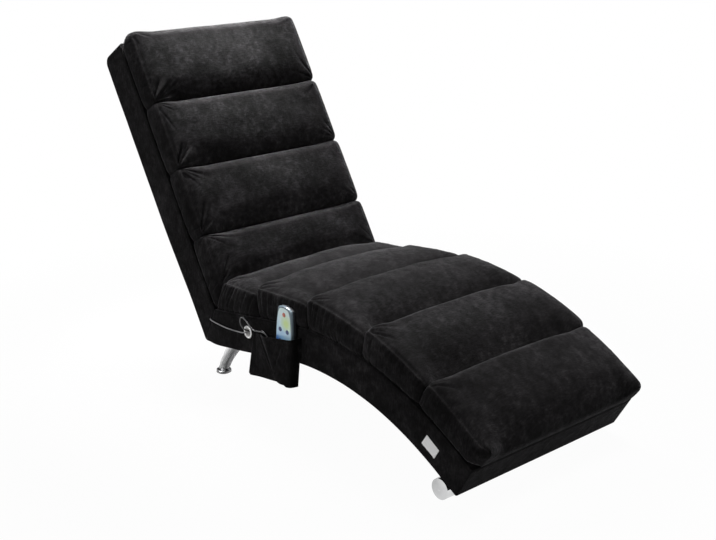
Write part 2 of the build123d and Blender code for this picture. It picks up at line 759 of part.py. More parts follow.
def handset_back_shell():
    """The rear shell, with posts for the circuit board and a spout for the cord."""
    depth = HANDSET_THICKNESS - HANDSET_SPLIT
    body = extrude(handset_outline(0), amount=depth)
    body = fillet(body.edges().group_by(Axis.Z)[0], HANDSET_EDGE_RADIUS)
    room = Pos(0, 0, HANDSET_WALL) * extrude(handset_outline(HANDSET_WALL), amount=depth)
    spout = Cylinder(HANDSET_SPOUT_DIAMETER / 2, HANDSET_SPOUT_LENGTH + 2 * HANDSET_WALL,
                     align=(Align.CENTER, Align.CENTER, Align.MIN))
    spout = Pos(0, -HANDSET_LENGTH / 2 + 2 * HANDSET_WALL, depth / 2) * Rot(90, 0, 0) * spout
    rise = board_level() - HANDSET_WALL
    post = Cylinder(2 * HANDSET_WALL, rise, align=(Align.CENTER, Align.CENTER, Align.MIN))
    posts = [Pos(x, y, HANDSET_WALL) * post for x, y in board_corners(0.75)]
    return handset_plane() * (body - room + spout + posts)


def board_level():
    """Height of the circuit board's underside above the handset's back."""
    face = HANDSET_THICKNESS - HANDSET_WALL
    return face - KEY_RIM_THICKNESS - 2 * KEY_TRAVEL - KEY_STEM_LENGTH - DOME_HEIGHT - BOARD_PCB


def board_corners(share):
    """Four places on the circuit board, as a share of its half sizes."""
    half_width = HANDSET_TAIL_WIDTH / 2 - 3 * HANDSET_WALL
    half_length = HANDSET_LENGTH / 2 - 5 * HANDSET_WALL
    return [(x * share * half_width, y * share * half_length) for x in (-1, 1) for y in (-1, 1)]


def handset_front_shell():
    """The front shell, with a hole for each key."""
    body = extrude(handset_outline(0), amount=HANDSET_SPLIT)
    body = fillet(body.edges().group_by(Axis.Z)[-1], HANDSET_EDGE_RADIUS)
    room = extrude(handset_outline(HANDSET_WALL), amount=HANDSET_SPLIT - HANDSET_WALL)
    hole = Cylinder(KEY_DIAMETER / 2 + KEY_CLEARANCE, 2 * HANDSET_THICKNESS)
    body = body - room - [Pos(x, y, 0) * hole for x, y in KEY_PLACES.values()]
    return handset_plane() * Pos(0, 0, HANDSET_THICKNESS - HANDSET_SPLIT) * body


def circuit_board():
    """The handset's circuit board, with a dome switch under each key."""
    corners = board_corners(1.0)
    board = extrude(Rectangle(2 * corners[-1][0], 2 * corners[-1][1]), amount=BOARD_PCB)
    board = Pos(0, 0, board_level()) * board
    dome = Cylinder(DOME_DIAMETER / 2, DOME_HEIGHT, align=(Align.CENTER, Align.CENTER, Align.MIN))
    domes = [Pos(x, y, board_level() + BOARD_PCB) * dome for x, y in KEY_PLACES.values()]
    return handset_plane() * (board + domes)


def key(place):
    """A push key: a cap through the front shell, a rim that keeps it in, and a stem to its dome."""
    face = HANDSET_THICKNESS
    rim_top = face - HANDSET_WALL - KEY_SLACK
    dome_top = board_level() + BOARD_PCB + DOME_HEIGHT
    stem_tip = dome_top + KEY_TRAVEL + KEY_SLACK
    cap_height = face + KEY_PROUD - rim_top
    cap = Cylinder(KEY_DIAMETER / 2, cap_height, align=(Align.CENTER, Align.CENTER, Align.MIN))
    cap = fillet(cap.edges().group_by(Axis.Z)[-1], KEY_PROUD / 2)
    rim_radius = KEY_DIAMETER / 2 + KEY_RIM
    rim = Cylinder(rim_radius, KEY_RIM_THICKNESS, align=(Align.CENTER, Align.CENTER, Align.MAX))
    stem = Cylinder(KEY_STEM_DIAMETER / 2, rim_top - stem_tip, align=(Align.CENTER, Align.CENTER, Align.MAX))
    return handset_plane() * Pos(place[0], place[1], rim_top) * (cap + rim + stem)


def leg_plane(y):
    """A plane on the seat's underside at a rear leg, its z into the frame."""
    return seat_plane(LEG_PLACE, -FRAME_DEPTH, y)


def leg_screw_planes(y):
    """Planes at the screws of a rear leg's flange, on the flange's lower face."""
    grid = GridLocations(LEG_SCREW_SPACING, LEG_SCREW_SPREAD, 2, 2)
    return [leg_plane(y) * spot * Pos(0, 0, -LEG_FLANGE_THICKNESS) for spot in grid]


def leg_arc():
    """Foot, chord angle, radius and start slope of the arc that a rear leg's axis follows."""
    top = seat_point(LEG_PLACE, -FRAME_DEPTH - LEG_FLANGE_THICKNESS)
    foot = Vector(-LEG_SETBACK, 0, FELT_THICKNESS + LEG_FOOT_HEIGHT)
    chord = top - foot
    slope = degrees(atan2(chord.Z, chord.X)) + LEG_TURN / 2
    return foot, slope, chord.length / (2 * sin(radians(LEG_TURN / 2)))


def rear_leg(y):
    """A chromed cast horn that sweeps back to its foot, with a screwed flange on top."""
    foot, slope, radius = leg_arc()
    sections = []
    for share in LEG_STATIONS:
        turned = LEG_TURN * share
        origin = foot + (unit(slope + 90 - turned) - unit(slope + 90)) * radius + Vector(0, y, 0)
        size = LEG_NECK_DIAMETER + (LEG_TOP_DIAMETER - LEG_NECK_DIAMETER) * share
        sections.append(Plane(origin, x_dir=(0, 1, 0), z_dir=unit(slope - turned)) * Circle(size / 2))
    horn = loft(sections)
    plate = RectangleRounded(LEG_FLANGE_LENGTH, LEG_FLANGE_WIDTH, LEG_FLANGE_CORNER)
    flange = leg_plane(y) * extrude(plate, amount=-LEG_FLANGE_THICKNESS)
    room = 4 * LEG_FLANGE_LENGTH
    above = leg_plane(y) * Box(room, room, room, align=(Align.CENTER, Align.CENTER, Align.MIN))
    disc = Cylinder(LEG_FOOT_DIAMETER / 2, LEG_FOOT_HEIGHT, align=(Align.CENTER, Align.CENTER, Align.MIN))
    disc = fillet(disc.edges().group_by(Axis.Z)[-1], LEG_FOOT_HEIGHT / 3)
    foot_plane = Plane(foot + Vector(0, y, 0), z_dir=(0, 0, 1))
    below = foot_plane * Box(room, room, room, align=(Align.CENTER, Align.CENTER, Align.MAX))
    neck = Plane(foot + Vector(0, y, 0) - unit(slope) * LEG_FOOT_HEIGHT, x_dir=(0, 1, 0), z_dir=unit(slope))
    root = Cylinder(LEG_NECK_DIAMETER / 2, LEG_FOOT_HEIGHT, align=(Align.CENTER, Align.CENTER, Align.MIN))
    disc = Pos(-LEG_SETBACK, y, FELT_THICKNESS) * disc
    leg = (horn + neck * root - above - below) + flange + disc
    return leg - [screw_hole(plane, LEG_FLANGE_THICKNESS + COVER_THICKNESS) for plane in leg_screw_planes(y)]


def felt_pad(y):
    """The felt under a rear leg's foot."""
    pad_disc = Cylinder(FELT_DIAMETER / 2, FELT_THICKNESS, align=(Align.CENTER, Align.CENTER, Align.MIN))
    return Pos(-LEG_SETBACK, y, 0) * pad_disc


def leg_block(side):
    """A hardwood block against the mitre rail and a side panel, which takes a rear leg's screws."""
    face = SEAM_GAP + BOARD_THICKNESS
    right = INNER_FACE - LEG_BLOCK_WIDTH if side > 0 else -INNER_FACE
    low, high = -FLOOR_OF_FRAME, -CLEAT_BOTTOM
    corners = [
        seat_point(mitre(low, face), low, right),
        seat_point(LEG_BLOCK_END, low, right),
        seat_point(LEG_BLOCK_END, high, right),
        seat_point(mitre(high, face), high, right),
    ]
    return prism(loop(corners), LEG_BLOCK_WIDTH)


def bar_axis():
    """Place of the foot bar's axis along the seat deck, and its point in side view."""
    depth = FRAME_DEPTH + BAR_GAP + BAR_DIAMETER / 2
    end = seat_point(SEAT_LENGTH, -depth)
    back_up = (end.Z - BAR_DIAMETER / 2) / sin(radians(seat_slope(SEAT_LENGTH)))
    s = SEAT_LENGTH - back_up
    return s, seat_point(s, -depth)


def bar_plane(y):
    """A plane square to the foot bar's axis."""
    point = bar_axis()[1]
    return Plane((point.X, y, point.Z), x_dir=(1, 0, 0), z_dir=(0, 1, 0))


def foot_bar():
    """The chromed tube across the foot end."""
    length = CHAIR_WIDTH + 2 * BAR_PROJECTION - 2 * BAR_CAP_THICKNESS - 2 * BAR_CAP_DOME
    tube_body = Cylinder(BAR_DIAMETER / 2, length) - Cylinder(BAR_DIAMETER / 2 - BAR_WALL, 2 * length)
    return bar_plane(0) * tube_body


def bar_cap(side):
    """A domed cap that plugs an end of the foot bar."""
    radius = BAR_DIAMETER / 2
    plug = radius - BAR_WALL
    rim = BAR_CAP_THICKNESS
    dome = (radius**2 + BAR_CAP_DOME**2) / (2 * BAR_CAP_DOME)
    half_turn = asin(radius / dome) / 2
    middle = (dome * sin(half_turn), rim + BAR_CAP_DOME - dome * (1 - cos(half_turn)))
    outline = [
        Line((0, -BAR_CAP_PLUG), (plug, -BAR_CAP_PLUG)),
        Line((plug, -BAR_CAP_PLUG), (plug, 0)),
        Line((plug, 0), (radius, 0)),
        Line((radius, 0), (radius, rim)),
        ThreePointArc((radius, rim), middle, (0, rim + BAR_CAP_DOME)),
        Line((0, rim + BAR_CAP_DOME), (0, -BAR_CAP_PLUG)),
    ]
    cap = revolve(Plane.XZ * make_face(Curve() + outline), Axis.Z)
    seat = HALF_WIDTH + BAR_PROJECTION - BAR_CAP_THICKNESS - BAR_CAP_DOME
    point = bar_axis()[1]
    return Plane((point.X, side * seat, point.Z), x_dir=(1, 0, 0), z_dir=(0, side, 0)) * cap


def saddle(side):
    """A cradle block between the foot bar and the frame."""
    plane = seat_plane(bar_axis()[0], -FRAME_DEPTH, side * SADDLE_SPREAD)
    block = Box(SADDLE_LENGTH, SADDLE_WIDTH, SADDLE_HEIGHT, align=(Align.CENTER, Align.CENTER, Align.MAX))
    block = chamfer(block.edges().filter_by(Axis.Y).group_by(Axis.Z)[0], SADDLE_HEIGHT / 5)
    s = bar_axis()[0]
    frame = slab(seat_point, s - SADDLE_LENGTH, s + SADDLE_LENGTH, -FRAME_DEPTH, 0, -HALF_WIDTH, HALF_WIDTH)
    body = plane * block - bar_plane(0) * Cylinder(BAR_DIAMETER / 2, 2 * CHAIR_WIDTH) - frame
    return body - [screw_hole(spot, SADDLE_HEIGHT + COVER_THICKNESS) for spot in saddle_screw_planes(side)]


def saddle_screw_planes(side):
    """Planes at a saddle's two screws, on its lower face."""
    plane = seat_plane(bar_axis()[0], -FRAME_DEPTH, side * SADDLE_SPREAD)
    return [plane * Pos(way * SADDLE_SCREW_SPACING / 2, 0, -SADDLE_HEIGHT) for way in (-1, 1)]


def grommet():
    """A white ring with a neck through the cover and the panel."""
    bore = GROMMET_BORE / 2
    neck = GROMMET_NECK / 2
    rim = GROMMET_DIAMETER / 2
    face = GROMMET_FLANGE
    bulge = face * (1 - cos(pi / 4))
    rise = face * sin(pi / 4)
    depth = COVER_THICKNESS + BOARD_THICKNESS
    outline = [
        Line((bore, -depth), (neck, -depth)),
        Line((neck, -depth), (neck, 0)),
        Line((neck, 0), (rim, 0)),
        ThreePointArc((rim, 0), (rim - bulge, rise), (rim - face, face)),
        Line((rim - face, face), (bore + face, face)),
        ThreePointArc((bore + face, face), (bore + bulge, rise), (bore, 0)),
        Line((bore, 0), (bore, -depth)),
    ]
    ring = revolve(Plane.XZ * make_face(Curve() + outline), Axis.Z)
    origin = (GROMMET_PLACE[0], -HALF_WIDTH, GROMMET_PLACE[1])
    return Plane(origin, x_dir=(1, 0, 0), z_dir=(0, -1, 0)) * ring


def side_tag():
    """The blank tag sewn to the seat's side."""
    box = Box(TAG_LENGTH, TAG_THICKNESS, TAG_HEIGHT, align=(Align.CENTER, Align.MAX, Align.CENTER))
    return Pos(TAG_PLACE[0], -HALF_WIDTH, TAG_PLACE[1]) * Rot(0, -TAG_SLOPE, 0) * box


def wire(points):
    """A wire held inside the frame, in runs joined by arcs."""
    path = route_path(points)[0]
    return sweep(path_circle(path, WIRE_DIAMETER), path=path)


def drop(plane):
    """The branch from the trunk wire up to a massage pod."""
    length = WIRE_DEPTH - WIRE_DIAMETER / 2 - FOAM_THICKNESS
    branch = Cylinder(WIRE_DIAMETER / 2, length, align=(Align.CENTER, Align.CENTER, Align.MAX))
    return plane * Pos(0, 0, -SOFT_CLEARANCE) * branch


def wiring():
    """The wires from the pods to the grommet and to the back's lead hole."""
    planes = pod_planes()
    margin = 4 * WIRE_DIAMETER
    path = Wire(along(seat_point, SEAT_PODS[0] - margin, SEAT_PODS[-1] + margin, -WIRE_DEPTH, 0))
    seat_trunk = sweep(path_circle(path, WIRE_DIAMETER), path=path)
    back_trunk = wire(back_trunk_points())
    seat_lead = wire(seat_lead_points(SEAT_PODS[0]))
    back_drops = [drop(plane) for plane in planes[:len(BACK_PODS)]]
    seat_drops = [drop(plane) for plane in planes[len(BACK_PODS):]]
    return (back_trunk + back_drops).solids() + (seat_trunk + seat_drops).solids() + seat_lead.solids()


def back_trunk_points():
    """The back's wire: down the middle, across to the sitter's right and out of the lead hole."""
    margin = 4 * WIRE_DIAMETER
    hole = lead_hole_place()
    return [
        back_point(BACK_PODS[-1] + margin, -WIRE_DEPTH),
        back_point(2 * margin, -WIRE_DEPTH),
        back_point(margin, -WIRE_DEPTH, -margin),
        back_point(margin, -WIRE_DEPTH, -INNER_FACE + 3 * margin),
        back_point(hole[0], hole[1], -INNER_FACE + 1.5 * margin),
        back_point(hole[0], hole[1], -INNER_FACE),
    ]


def groove(points):
    """The room that a wire takes up in the foam."""
    path = route_path(points)[0]
    return sweep(path_circle(path, WIRE_DIAMETER + 2 * SOFT_CLEARANCE), path=path)


def power_inlet():
    """A round socket for a low-voltage lead, with a flange under the frame and a centre pin."""
    flange = Cylinder(INLET_FLANGE / 2, INLET_FLANGE_THICKNESS, align=(Align.CENTER, Align.CENTER, Align.MAX))
    body = Cylinder(INLET_BODY / 2, INLET_LENGTH, align=(Align.CENTER, Align.CENTER, Align.MIN))
    start = -INLET_FLANGE_THICKNESS
    bore = Cylinder(INLET_BORE / 2, INLET_BORE_DEPTH, align=(Align.CENTER, Align.CENTER, Align.MIN))
    pin = Cylinder(INLET_PIN / 2, INLET_BORE_DEPTH, align=(Align.CENTER, Align.CENTER, Align.MIN))
    return flange + body - Pos(0, 0, start) * bore + Pos(0, 0, start) * pin


def lead_hole_place():
    """Where the back lead's hole is, up the back deck and off it."""
    offset = Vector(LEAD_HOLE_PLACE[0], 0, LEAD_HOLE_PLACE[1]) - HIP
    return offset.dot(unit(180 - BACK_ANGLE)), offset.dot(unit(90 - BACK_ANGLE))


def seat_lead_points(first):
    """The wire from the grommet to the first pod of the seat, through a groove in the foam."""
    offset = Vector(GROMMET_PLACE[0], 0, GROMMET_PLACE[1]) - HIP
    s, h = offset.dot(unit(SEAT_RISE)), offset.dot(unit(SEAT_RISE + 90))
    groove = -FOAM_THICKNESS + 1.5 * WIRE_DIAMETER
    return [
        seat_point(s, h, -INNER_FACE),
        seat_point(s, h, -INNER_FACE + 4 * WIRE_DIAMETER),
        seat_point(first - WIRE_DIAMETER, groove, -INNER_FACE + LEAD_REACH * WIRE_DIAMETER),
        seat_point(first, groove, -POD_DIAMETER / 2 - POD_CLEARANCE),
    ]


def build():
    """Every node by its name, from the hip corner."""
    nodes = {}
    end_board = COVER_THICKNESS + BOARD_THICKNESS
    base = -FLOOR_OF_FRAME
    rear_feet = (-LEG_SPREAD, LEG_SPREAD)
    sides = (-1, 1)
    holes = bolt_holes()
    lead_hole = side_hole(LEAD_HOLE_PLACE, LEAD_DIAMETER + 2 * LEAD_HOLE_CLEARANCE)
    grommet_hole = side_hole(GROMMET_PLACE, GROMMET_NECK + 2 * GROMMET_CLEARANCE)
    cover_screws = [screw_hole(plane, LEG_FLANGE_THICKNESS + COVER_THICKNESS)
                    for y in rear_feet for plane in leg_screw_planes(y)]
    saddle_screws = [screw_hole(plane, SADDLE_HEIGHT + COVER_THICKNESS)
                     for side in sides for plane in saddle_screw_planes(side)]

    nodes["back_side_panel_left"] = side_panel(back_point, BACK_LENGTH, 1)
    nodes["back_side_panel_right"] = side_panel(back_point, BACK_LENGTH, -1) - lead_hole
    nodes["seat_side_panel_left"] = side_panel(seat_point, SEAT_LENGTH, 1)
    nodes["seat_side_panel_right"] = side_panel(seat_point, SEAT_LENGTH, -1) - grommet_hole

    nodes["back_top_rail"] = slab(back_point, BACK_LENGTH - end_board, BACK_LENGTH - COVER_THICKNESS,
                                  base, 0, -INNER_FACE, INNER_FACE)
    nodes["back_middle_rail"] = slab(back_point, BACK_RAIL_PLACE, BACK_RAIL_PLACE + MIDDLE_RAIL_WIDTH,
                                     base, -CLEAT_BOTTOM, -INNER_FACE, INNER_FACE)
    nodes["back_mitre_rail"] = mitre_rail(-1) - holes
    nodes["seat_mitre_rail"] = mitre_rail(1) - holes - cover_screws
    under = -FRAME_DEPTH - DUST_THICKNESS - SCREW_CLEARANCE
    inlet = seat_plane(SEAT_RAIL_PLACE + MIDDLE_RAIL_WIDTH / 2, under, INLET_PLACE)
    inlet_hole = inlet * Cylinder(INLET_BODY / 2 + SCREW_CLEARANCE, 4 * INLET_LENGTH)
    nodes["seat_middle_rail"] = slab(seat_point, SEAT_RAIL_PLACE, SEAT_RAIL_PLACE + MIDDLE_RAIL_WIDTH,
                                     base, -CLEAT_BOTTOM, -INNER_FACE, INNER_FACE) - inlet_hole
    board_top = base + BOARD_THICKNESS
    nodes["seat_foot_board"] = slab(seat_point, SEAT_LENGTH - COVER_THICKNESS - FOOT_BOARD_LENGTH,
                                    SEAT_LENGTH - COVER_THICKNESS, base, board_top,
                                    -INNER_FACE, INNER_FACE) - saddle_screws
    nodes["seat_front_rail"] = slab(seat_point, SEAT_LENGTH - end_board, SEAT_LENGTH - COVER_THICKNESS,
                                    board_top, 0, -INNER_FACE, INNER_FACE) - saddle_screws
    back_cleats = cleats(back_point, BACK_LENGTH - end_board)
    seat_cleats = cleats(seat_point, SEAT_LENGTH - end_board)
    nodes["webbing_cleats"] = back_cleats + seat_cleats
    back_straps = [web_strap(back_point, u) for u in web_places(BACK_WEB_START, BACK_LENGTH)]
    seat_straps = [web_strap(seat_point, s) for s in web_places(SEAT_WEB_START, SEAT_LENGTH)]
    nodes["webbing_straps"] = back_straps + seat_straps
    nodes["joint_bolts"] = [joint_bolt(y) for y in bolt_places()]
    nodes["joint_nuts"] = [joint_nut(y) for y in bolt_places()]

    wires = wiring()
    nodes["back_foam"] = foam(back_point, BACK_LENGTH) - groove(back_trunk_points())
    nodes["seat_foam"] = foam(seat_point, SEAT_LENGTH) - groove(seat_lead_points(SEAT_PODS[0]))
    for index in range(BACK_CHANNELS):
        nodes[f"back_channel_{index + 1}"] = back_pad(index)
    for index in range(SEAT_CHANNELS):
        nodes[f"seat_channel_{index + 1}"] = seat_pad(index)

    opening = slab(seat_point, HEM_WIDTH, bar_axis()[0] - SADDLE_LENGTH, -2 * FRAME_DEPTH, base,
                   -HALF_WIDTH + HEM_WIDTH, HALF_WIDTH - HEM_WIDTH)
    nodes["back_cover"] = cover_tray(back_point, BACK_LENGTH) - lead_hole
    nodes["seat_cover"] = (cover_tray(seat_point, SEAT_LENGTH) - opening - grommet_hole
                           - cover_screws - saddle_screws)
    nodes["underside_dust_cover"] = slab(seat_point, HEM_WIDTH - DUST_OVERLAP,
                                         bar_axis()[0] - SADDLE_LENGTH + DUST_OVERLAP,
                                         -FRAME_DEPTH - DUST_THICKNESS, -FRAME_DEPTH,
                                         -HALF_WIDTH + HEM_WIDTH - DUST_OVERLAP,
                                         HALF_WIDTH - HEM_WIDTH + DUST_OVERLAP) - inlet_hole
    nodes["side_tag"] = side_tag()

    nodes["leg_blocks"] = [leg_block(side) - cover_screws for side in sides]
    nodes["rear_legs"] = [rear_leg(y) for y in rear_feet]
    nodes["rear_foot_felts"] = [felt_pad(y) for y in rear_feet]
    nodes["wood_screws"] = [wood_screw(plane, LEG_FLANGE_THICKNESS + COVER_THICKNESS)
                            for y in rear_feet for plane in leg_screw_planes(y)]
    nodes["wood_screws"] += [wood_screw(plane, SADDLE_HEIGHT + COVER_THICKNESS)
                             for side in sides for plane in saddle_screw_planes(side)]
    nodes["foot_bar"] = foot_bar()
    nodes["foot_bar_caps"] = [bar_cap(side) for side in sides]
    nodes["foot_bar_saddles"] = [saddle(side) for side in sides]

    nodes["massage_pod_cases"] = [plane * pod_case() for plane in pod_planes()]
    nodes["massage_pod_lids"] = [plane * pod_lid() for plane in pod_planes()]
    nodes["massage_motors"] = [plane * motor() for plane in pod_planes()]
    for number, plane in enumerate(pod_planes(), 1):
        nodes[f"massage_rotor_{number}"] = plane * rotor()
    nodes["wiring_harness"] = wires
    nodes["power_inlet"] = inlet * power_inlet()

    nodes["cord_grommet"] = grommet()
    nodes["side_pocket"] = side_pocket()
    nodes["handset_back_shell"] = handset_back_shell()
    nodes["handset_front_shell"] = handset_front_shell()
    nodes["handset_circuit_board"] = circuit_board()
    for name, place in KEY_PLACES.items():
        nodes[name] = key(place)
    nodes["back_lead"] = tube(BACK_LEAD_ROUTE, LEAD_DIAMETER, "back_lead")
    nodes["handset_cord"] = tube(HANDSET_CORD_ROUTE, CORD_DIAMETER, "handset_cord")
    coil = coil_points() + tail_points()
    nodes["handset_cord_coil"] = tube(coil, CORD_DIAMETER, "handset_cord_coil")
    print(f"handset_cord_coil: least gap between turns {least_gap(coil_points(), CORD_DIAMETER):.2f} mm")
    return {name: Compound(children=solids_of(shape)) for name, shape in nodes.items()}


def solids_of(shape):
    """The separate solids of a node."""
    shapes = shape if isinstance(shape, list) else [shape]
    return [solid for one in shapes for solid in one.solids()]


def home(shapes):
    """How far to move the chair, so that its origin is below the middle of its box without its cords."""
    boxes = [shape.bounding_box() for name, shape in shapes.items() if name not in CORD_NODES]
    middle_x = (min(box.min.X for box in boxes) + max(box.max.X for box in boxes)) / 2
    middle_y = (min(box.min.Y for box in boxes) + max(box.max.Y for box in boxes)) / 2
    return Vector(-round(middle_x), -round(middle_y), 0)


parts = build()
shift = home(parts)
print(f"moved by {shift.X:.0f}, {shift.Y:.0f} mm from the hip corner")
os.makedirs("parts", exist_ok=True)
for part_name, part_shape in parts.items():
    export_step(Pos(shift) * part_shape, f"parts/{part_name}.step")
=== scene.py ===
from math import cos, pi, radians, sin, tan

import bmesh
import bpy
import numpy as np
from mathutils import Matrix, Vector, noise


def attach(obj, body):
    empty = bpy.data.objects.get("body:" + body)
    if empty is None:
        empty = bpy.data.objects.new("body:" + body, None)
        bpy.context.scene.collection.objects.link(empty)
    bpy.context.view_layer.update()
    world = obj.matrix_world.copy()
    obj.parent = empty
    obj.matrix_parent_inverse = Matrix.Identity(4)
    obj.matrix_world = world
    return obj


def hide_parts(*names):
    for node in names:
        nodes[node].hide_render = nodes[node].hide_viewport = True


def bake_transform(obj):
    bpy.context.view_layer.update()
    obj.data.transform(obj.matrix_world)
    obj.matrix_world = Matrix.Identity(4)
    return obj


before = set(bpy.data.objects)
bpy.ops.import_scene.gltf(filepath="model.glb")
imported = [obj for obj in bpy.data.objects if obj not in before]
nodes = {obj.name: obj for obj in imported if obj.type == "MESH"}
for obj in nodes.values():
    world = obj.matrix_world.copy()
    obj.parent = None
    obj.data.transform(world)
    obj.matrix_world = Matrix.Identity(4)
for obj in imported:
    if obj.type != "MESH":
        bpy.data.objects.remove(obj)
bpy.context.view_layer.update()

# The chair's decks in side view, in metres, as in the part's source.
# "s" runs along the seat deck from the hip corner, "u" up the back deck, "h" square to the deck.
HIP_X = -0.254
MIDDLE_Y = 0.015
HIP_Z = 0.2231
HALF_WIDTH = 0.280
FRAME_DEPTH = 0.094
BACK_ANGLE = radians(59.5)
BACK_LENGTH = 0.768
SEAT_RISE = radians(8.0)
SEAT_FLAT = 0.298
KNEE_RADIUS = 0.900
KNEE_TURN = radians(38.75)
FOOT_STRAIGHT = 0.080
HEEL_RADIUS = 0.030
KNEE_LENGTH = KNEE_RADIUS * KNEE_TURN
SEAT_LENGTH = SEAT_FLAT + KNEE_LENGTH + FOOT_STRAIGHT
HALF_HIP_ANGLE = (pi - BACK_ANGLE - SEAT_RISE) / 2


def seat_point(s, h, y=0.0):
    """Points at s along the seat deck and h above it, for numbers or arrays."""
    s, h, y = np.broadcast_arrays(np.asarray(s, float), np.asarray(h, float), np.asarray(y, float))
    slope = SEAT_RISE - np.clip(s - SEAT_FLAT, 0, KNEE_LENGTH) / KNEE_RADIUS
    flat = np.minimum(s, SEAT_FLAT)
    rest = np.maximum(s - SEAT_FLAT - KNEE_LENGTH, 0)
    x = flat * cos(SEAT_RISE) + KNEE_RADIUS * (sin(SEAT_RISE) - np.sin(slope)) + rest * np.cos(slope)
    z = flat * sin(SEAT_RISE) + KNEE_RADIUS * (np.cos(slope) - cos(SEAT_RISE)) + rest * np.sin(slope)
    x = HIP_X + x - h * np.sin(slope)
    z = HIP_Z + z + h * np.cos(slope)
    return np.stack([x, MIDDLE_Y + y, z], axis=-1)


def back_point(u, h, y=0.0):
    """Points at u up the back deck and h in front of it, for numbers or arrays."""
    u, h, y = np.broadcast_arrays(np.asarray(u, float), np.asarray(h, float), np.asarray(y, float))
    x = HIP_X - u * cos(BACK_ANGLE) + h * sin(BACK_ANGLE)
    z = HIP_Z + u * sin(BACK_ANGLE) + h * cos(BACK_ANGLE)
    return np.stack([x, MIDDLE_Y + y, z], axis=-1)


def mitre(h):
    """Where the mitre between back and seat lies at height h, along either deck."""
    return h / tan(HALF_HIP_ANGLE)


def place(x, y, z):
    """A point from the part's source, given from the hip corner in millimetres, in the row frame."""
    return ((x / 1000) + HIP_X, (y / 1000) + MIDDLE_Y, z / 1000)


# Noise and mesh helpers

def waves(points, size, seed):
    """Smooth noise from -1 to 1 at each point, with features of about size metres."""
    shift = Vector((seed * 7.31, seed * 3.17, seed * 5.53))
    return np.array([noise.noise(Vector(p) / size + shift) for p in points])


def layered_waves(points, layers, seed=0):
    """Waves of several sizes added up; each layer is (height, size, seed)."""
    return sum(height * waves(points, size, seed + own) for height, size, own in layers)


def smooth(value, low, high):
    """0 below low, 1 above high, and an S-curve between them."""
    t = np.clip((value - low) / (high - low), 0, 1)
    return t * t * (3 - 2 * t)


def bell(distance, width):
    """1 at distance 0, and nearly 0 from two widths away."""
    return np.exp(-(distance / width) ** 2)


def add_object(name, data):
    """A new object in the scene."""
    made = bpy.data.objects.new(name, data)
    bpy.context.scene.collection.objects.link(made)
    return made


def mesh_piece(name, points, faces, material, smooth_faces=True):
    """A new mesh object."""
    mesh = bpy.data.meshes.new(name)
    mesh.from_pydata([tuple(p) for p in points], [], faces)
    mesh.materials.append(material)
    mesh.polygons.foreach_set("use_smooth", [smooth_faces] * len(mesh.polygons))
    mesh.update()
    return add_object(name, mesh)


def evaluated_mesh(piece):
    """A new mesh of a piece with its modifiers applied."""
    bpy.context.view_layer.update()
    return bpy.data.meshes.new_from_object(piece.evaluated_get(bpy.context.evaluated_depsgraph_get()))


def thicken(piece, thickness):
    """Gives a sheet a thickness, on the side away from its faces."""
    solid = piece.modifiers.new("thickness", "SOLIDIFY")
    solid.thickness = thickness
    solid.offset = -1


def grid_faces(columns, rows):
    """The faces of a sheet of columns by rows cells, whose corners are listed column by column."""
    faces = []
    for column in range(columns):
        for row in range(rows):
            a = column * (rows + 1) + row
            faces.append((a, a + 1, a + rows + 2, a + rows + 1))
    return faces


def ring_faces(first, rings, sides):
    """The faces between rings of points that start at number first, and the faces that close both ends."""
    faces = []
    last = first + (rings - 1) * sides
    for ring in range(first, last, sides):
        for n in range(sides):
            a, b = ring + n, ring + (n + 1) % sides
            faces.append((a, b, b + sides, a + sides))
    return faces + [tuple(reversed(range(first, first + sides))), tuple(range(last, last + sides))]


def lattice(ni, nj, nk):
    """The surface of a box of ni by nj by nk cells: its grid corners and its outward faces."""
    index = {}
    faces = []

    def face(*places):
        faces.append(tuple(index.setdefault(spot, len(index)) for spot in places))

    for i in range(ni):
        for k in range(nk):
            face((i, 0, k), (i + 1, 0, k), (i + 1, 0, k + 1), (i, 0, k + 1))
            face((i, nj, k), (i, nj, k + 1), (i + 1, nj, k + 1), (i + 1, nj, k))
    for j in range(nj):
        for k in range(nk):
            face((0, j, k), (0, j, k + 1), (0, j + 1, k + 1), (0, j + 1, k))
            face((ni, j, k), (ni, j + 1, k), (ni, j + 1, k + 1), (ni, j, k + 1))
    for i in range(ni):
        for j in range(nj):
            face((i, j, 0), (i, j + 1, 0), (i + 1, j + 1, 0), (i + 1, j, 0))
            face((i, j, nk), (i + 1, j, nk), (i + 1, j + 1, nk), (i, j + 1, nk))
    return np.array(list(index)), faces


# Materials

